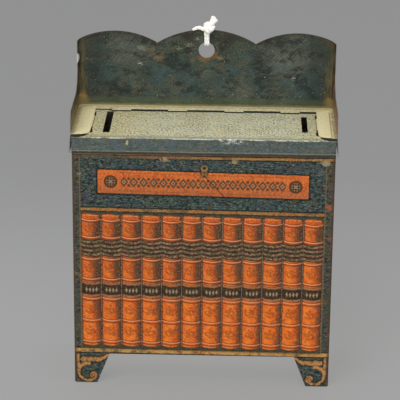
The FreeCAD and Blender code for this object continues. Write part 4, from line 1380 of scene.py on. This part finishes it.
def mesh_piece(name, mesh, material):
    """A new object from a bmesh, smooth shaded."""
    bmesh.ops.recalc_face_normals(mesh, faces=mesh.faces)
    data = bpy.data.meshes.new(name)
    mesh.to_mesh(data)
    mesh.free()
    data.materials.append(material)
    for polygon in data.polygons:
        polygon.use_smooth = True
    piece = bpy.data.objects.new(name, data)
    bpy.context.scene.collection.objects.link(piece)
    return piece


def trefoil(centre, width, string_radius, lean, count=132):
    """A closed overhand knot that faces the front and leans forward at its foot."""
    reach = 0.5 * width - string_radius
    inner = KNOT_INNER * reach
    swing = reach - inner
    line = []
    for index in range(count + 1):
        turn = math.tau * index / count
        away = inner + swing * math.cos(3.0 * turn)
        across = away * math.cos(2.0 * turn + KNOT_TURN)
        up = away * math.sin(2.0 * turn + KNOT_TURN)
        depth = KNOT_DEPTH * swing * math.sin(3.0 * turn) + up * lean
        line.append(Vector(centre) + Vector((across, depth, up)))
    return line


def make_string(context):
    """The doubled string through the hang hole and the knot with its two loose ends."""
    sizes = context.scene.money_box_string
    material = cotton_string(context.scene.money_box_palette)
    radius = 0.5 * sizes.diameter
    ply_radius = PLY_SHARE * radius
    ply_offset = radius - ply_radius

    line = smooth_line(STRING_ROUTE)
    mesh = bmesh.new()
    for ply in twisted_plies(line, ply_offset, sizes.lay):
        add_tube(mesh, ply, ply_radius, ply_radius)
    strands = mesh_piece("string", mesh, material)

    mesh = bmesh.new()
    knot_line = trefoil(Vector(KNOT_CENTRE) * MM, sizes.knot_width, radius, sizes.lean)
    for ply in twisted_plies(knot_line, ply_offset * KNOT_SPREAD, sizes.lay):
        add_tube(mesh, ply, ply_radius * KNOT_SWELL, ply_radius * KNOT_SWELL)
    for ply in twisted_plies(smooth_line(LEFT_END), ply_offset * KNOT_SPREAD, sizes.lay):
        add_tube(mesh, ply, ply_radius * LEFT_SWELL[0], ply_radius * LEFT_SWELL[1])
    for end in RIGHT_END_PLIES:
        add_tube(mesh, smooth_line(end), ply_radius * RIGHT_SWELL[0], ply_radius * RIGHT_SWELL[1], sides=12)
    knot = mesh_piece("knot", mesh, material)

    for piece, node in ((strands, "string_strands"), (knot, "string_knot")):
        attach(piece, "lid")
        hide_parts(node)


# The camera's sensor in millimetres; half the floor's width and the lamps in metres.
SENSOR_WIDTH = 36.0
FLOOR_REACH = 4.0
LAMP_AIM = (0.0, 0.0, 0.08)
KEY_PLACE = (-0.35, -0.75, 1.05)
KEY_SIZE = 0.8
FRONT_PLACE = (0.25, -1.25, 0.22)
FRONT_SIZE = 0.7


def make_camera(studio):
    """Camera at the viewing angle of the reference photograph."""
    camera = bpy.data.objects.new("camera", bpy.data.cameras.new("camera"))
    camera.data.sensor_width = SENSOR_WIDTH
    camera.data.lens = studio.lens / MM
    camera.data.clip_start = 0.01
    camera.data.clip_end = 50.0
    flat = math.cos(studio.elevation)
    forward = Vector((
        -math.sin(studio.azimuth) * flat,
        math.cos(studio.azimuth) * flat,
        -math.sin(studio.elevation),
    ))
    right = Vector((math.cos(studio.azimuth), math.sin(studio.azimuth), 0.0))
    up = right.cross(forward)
    rolled_right = right * math.cos(studio.roll) + up * math.sin(studio.roll)
    rolled_up = up * math.cos(studio.roll) - right * math.sin(studio.roll)
    place = Matrix((rolled_right, rolled_up, -forward)).transposed().to_4x4()
    place.translation = Vector(studio.target) - forward * studio.distance
    camera.matrix_world = place
    bpy.context.scene.collection.objects.link(camera)
    bpy.context.scene.camera = camera


def soft_lamp(name, place, aim, size, watts):
    """A square area lamp that points at aim."""
    light = bpy.data.lights.new(name, "AREA")
    light.size = size
    light.energy = watts
    lamp = bpy.data.objects.new(name, light)
    lamp.location = place
    lamp.rotation_euler = (Vector(aim) - Vector(place)).to_track_quat("-Z", "Y").to_euler()
    bpy.context.scene.collection.objects.link(lamp)


def make_stage(context):
    """Floor, soft light, view settings and camera."""
    studio = context.scene.money_box_studio
    scene = context.scene
    scene.view_settings.view_transform = "Standard"
    world = bpy.data.worlds.new("sky")
    world.use_nodes = True
    world.node_tree.nodes["Background"].inputs["Color"].default_value = (1.0, 1.0, 1.0, 1.0)
    world.node_tree.nodes["Background"].inputs["Strength"].default_value = studio.sky
    scene.world = world

    mesh = bmesh.new()
    bmesh.ops.create_grid(mesh, x_segments=1, y_segments=1, size=FLOOR_REACH)
    floor = mesh_piece("floor", mesh, pale_floor(studio))
    soft_lamp("key", KEY_PLACE, LAMP_AIM, KEY_SIZE, studio.key)
    soft_lamp("front", FRONT_PLACE, LAMP_AIM, FRONT_SIZE, studio.front)
    make_camera(studio)


class MONEY_BOX_OT_stage(bpy.types.Operator):
    """Builds the floor, the lamps and the camera"""

    bl_idname = "money_box.stage"
    bl_label = "Stage"

    def execute(self, context):
        make_stage(context)
        return {"FINISHED"}


class MONEY_BOX_OT_string(bpy.types.Operator):
    """Builds the cotton string and its knot"""

    bl_idname = "money_box.string"
    bl_label = "String and knot"

    def execute(self, context):
        make_string(context)
        return {"FINISHED"}


class MONEY_BOX_OT_body(bpy.types.Operator):
    """Prints the front, the sides and the back, and leaves the bottom plate bare"""

    bl_idname = "money_box.body"
    bl_label = "Body"

    def execute(self, context):
        palette = context.scene.money_box_palette
        layout = context.scene.money_box_print
        dress("front_and_sides", printed_front(palette, layout))
        dress("back_panel", printed_back(palette, layout))
        dress("bottom_plate", bare_tinplate(palette))
        return {"FINISHED"}


class MONEY_BOX_OT_lid(bpy.types.Operator):
    """Paints the lid"""

    bl_idname = "money_box.lid"
    bl_label = "Lid"

    def execute(self, context):
        dress("lid", printed_lid(context.scene.money_box_palette))
        return {"FINISHED"}


class MONEY_BOX_OT_gallery(bpy.types.Operator):
    """Prints the gallery"""

    bl_idname = "money_box.gallery"
    bl_label = "Gallery"

    def execute(self, context):
        dress("gallery", printed_gallery(context.scene.money_box_palette))
        return {"FINISHED"}


class MONEY_BOX_PT_sidebar(bpy.types.Panel):
    """The money box's settings and steps"""

    bl_idname = "MONEY_BOX_PT_sidebar"
    bl_label = "Tin money box"
    bl_space_type = "VIEW_3D"
    bl_region_type = "UI"
    bl_category = "Money box"

    def draw(self, context):
        for group in GROUPS:
            column = self.layout.column(align=True)
            settings = getattr(context.scene, GROUPS[group])
            for name in group.__annotations__:
                column.prop(settings, name)
        for step in STEPS:
            self.layout.operator(step.bl_idname)


GROUPS = {
    PrintLayout: "money_box_print",
    Palette: "money_box_palette",
    StringSizes: "money_box_string",
    Studio: "money_box_studio",
}
STEPS = (
    MONEY_BOX_OT_stage,
    MONEY_BOX_OT_string,
    MONEY_BOX_OT_body,
    MONEY_BOX_OT_lid,
    MONEY_BOX_OT_gallery,
)


def register():
    for group, name in GROUPS.items():
        bpy.utils.register_class(group)
        setattr(bpy.types.Scene, name, PointerProperty(type=group))
    for step in STEPS:
        bpy.utils.register_class(step)
    bpy.utils.register_class(MONEY_BOX_PT_sidebar)


def unregister():
    bpy.utils.unregister_class(MONEY_BOX_PT_sidebar)
    for step in reversed(STEPS):
        bpy.utils.unregister_class(step)
    for group, name in GROUPS.items():
        delattr(bpy.types.Scene, name)
        bpy.utils.unregister_class(group)


def main():
    """Builds everything."""
    register()
    bpy.ops.money_box.stage()
    bpy.ops.money_box.string()
    bpy.ops.money_box.body()
    bpy.ops.money_box.lid()
    bpy.ops.money_box.gallery()


if __name__ == "__main__":
    main()
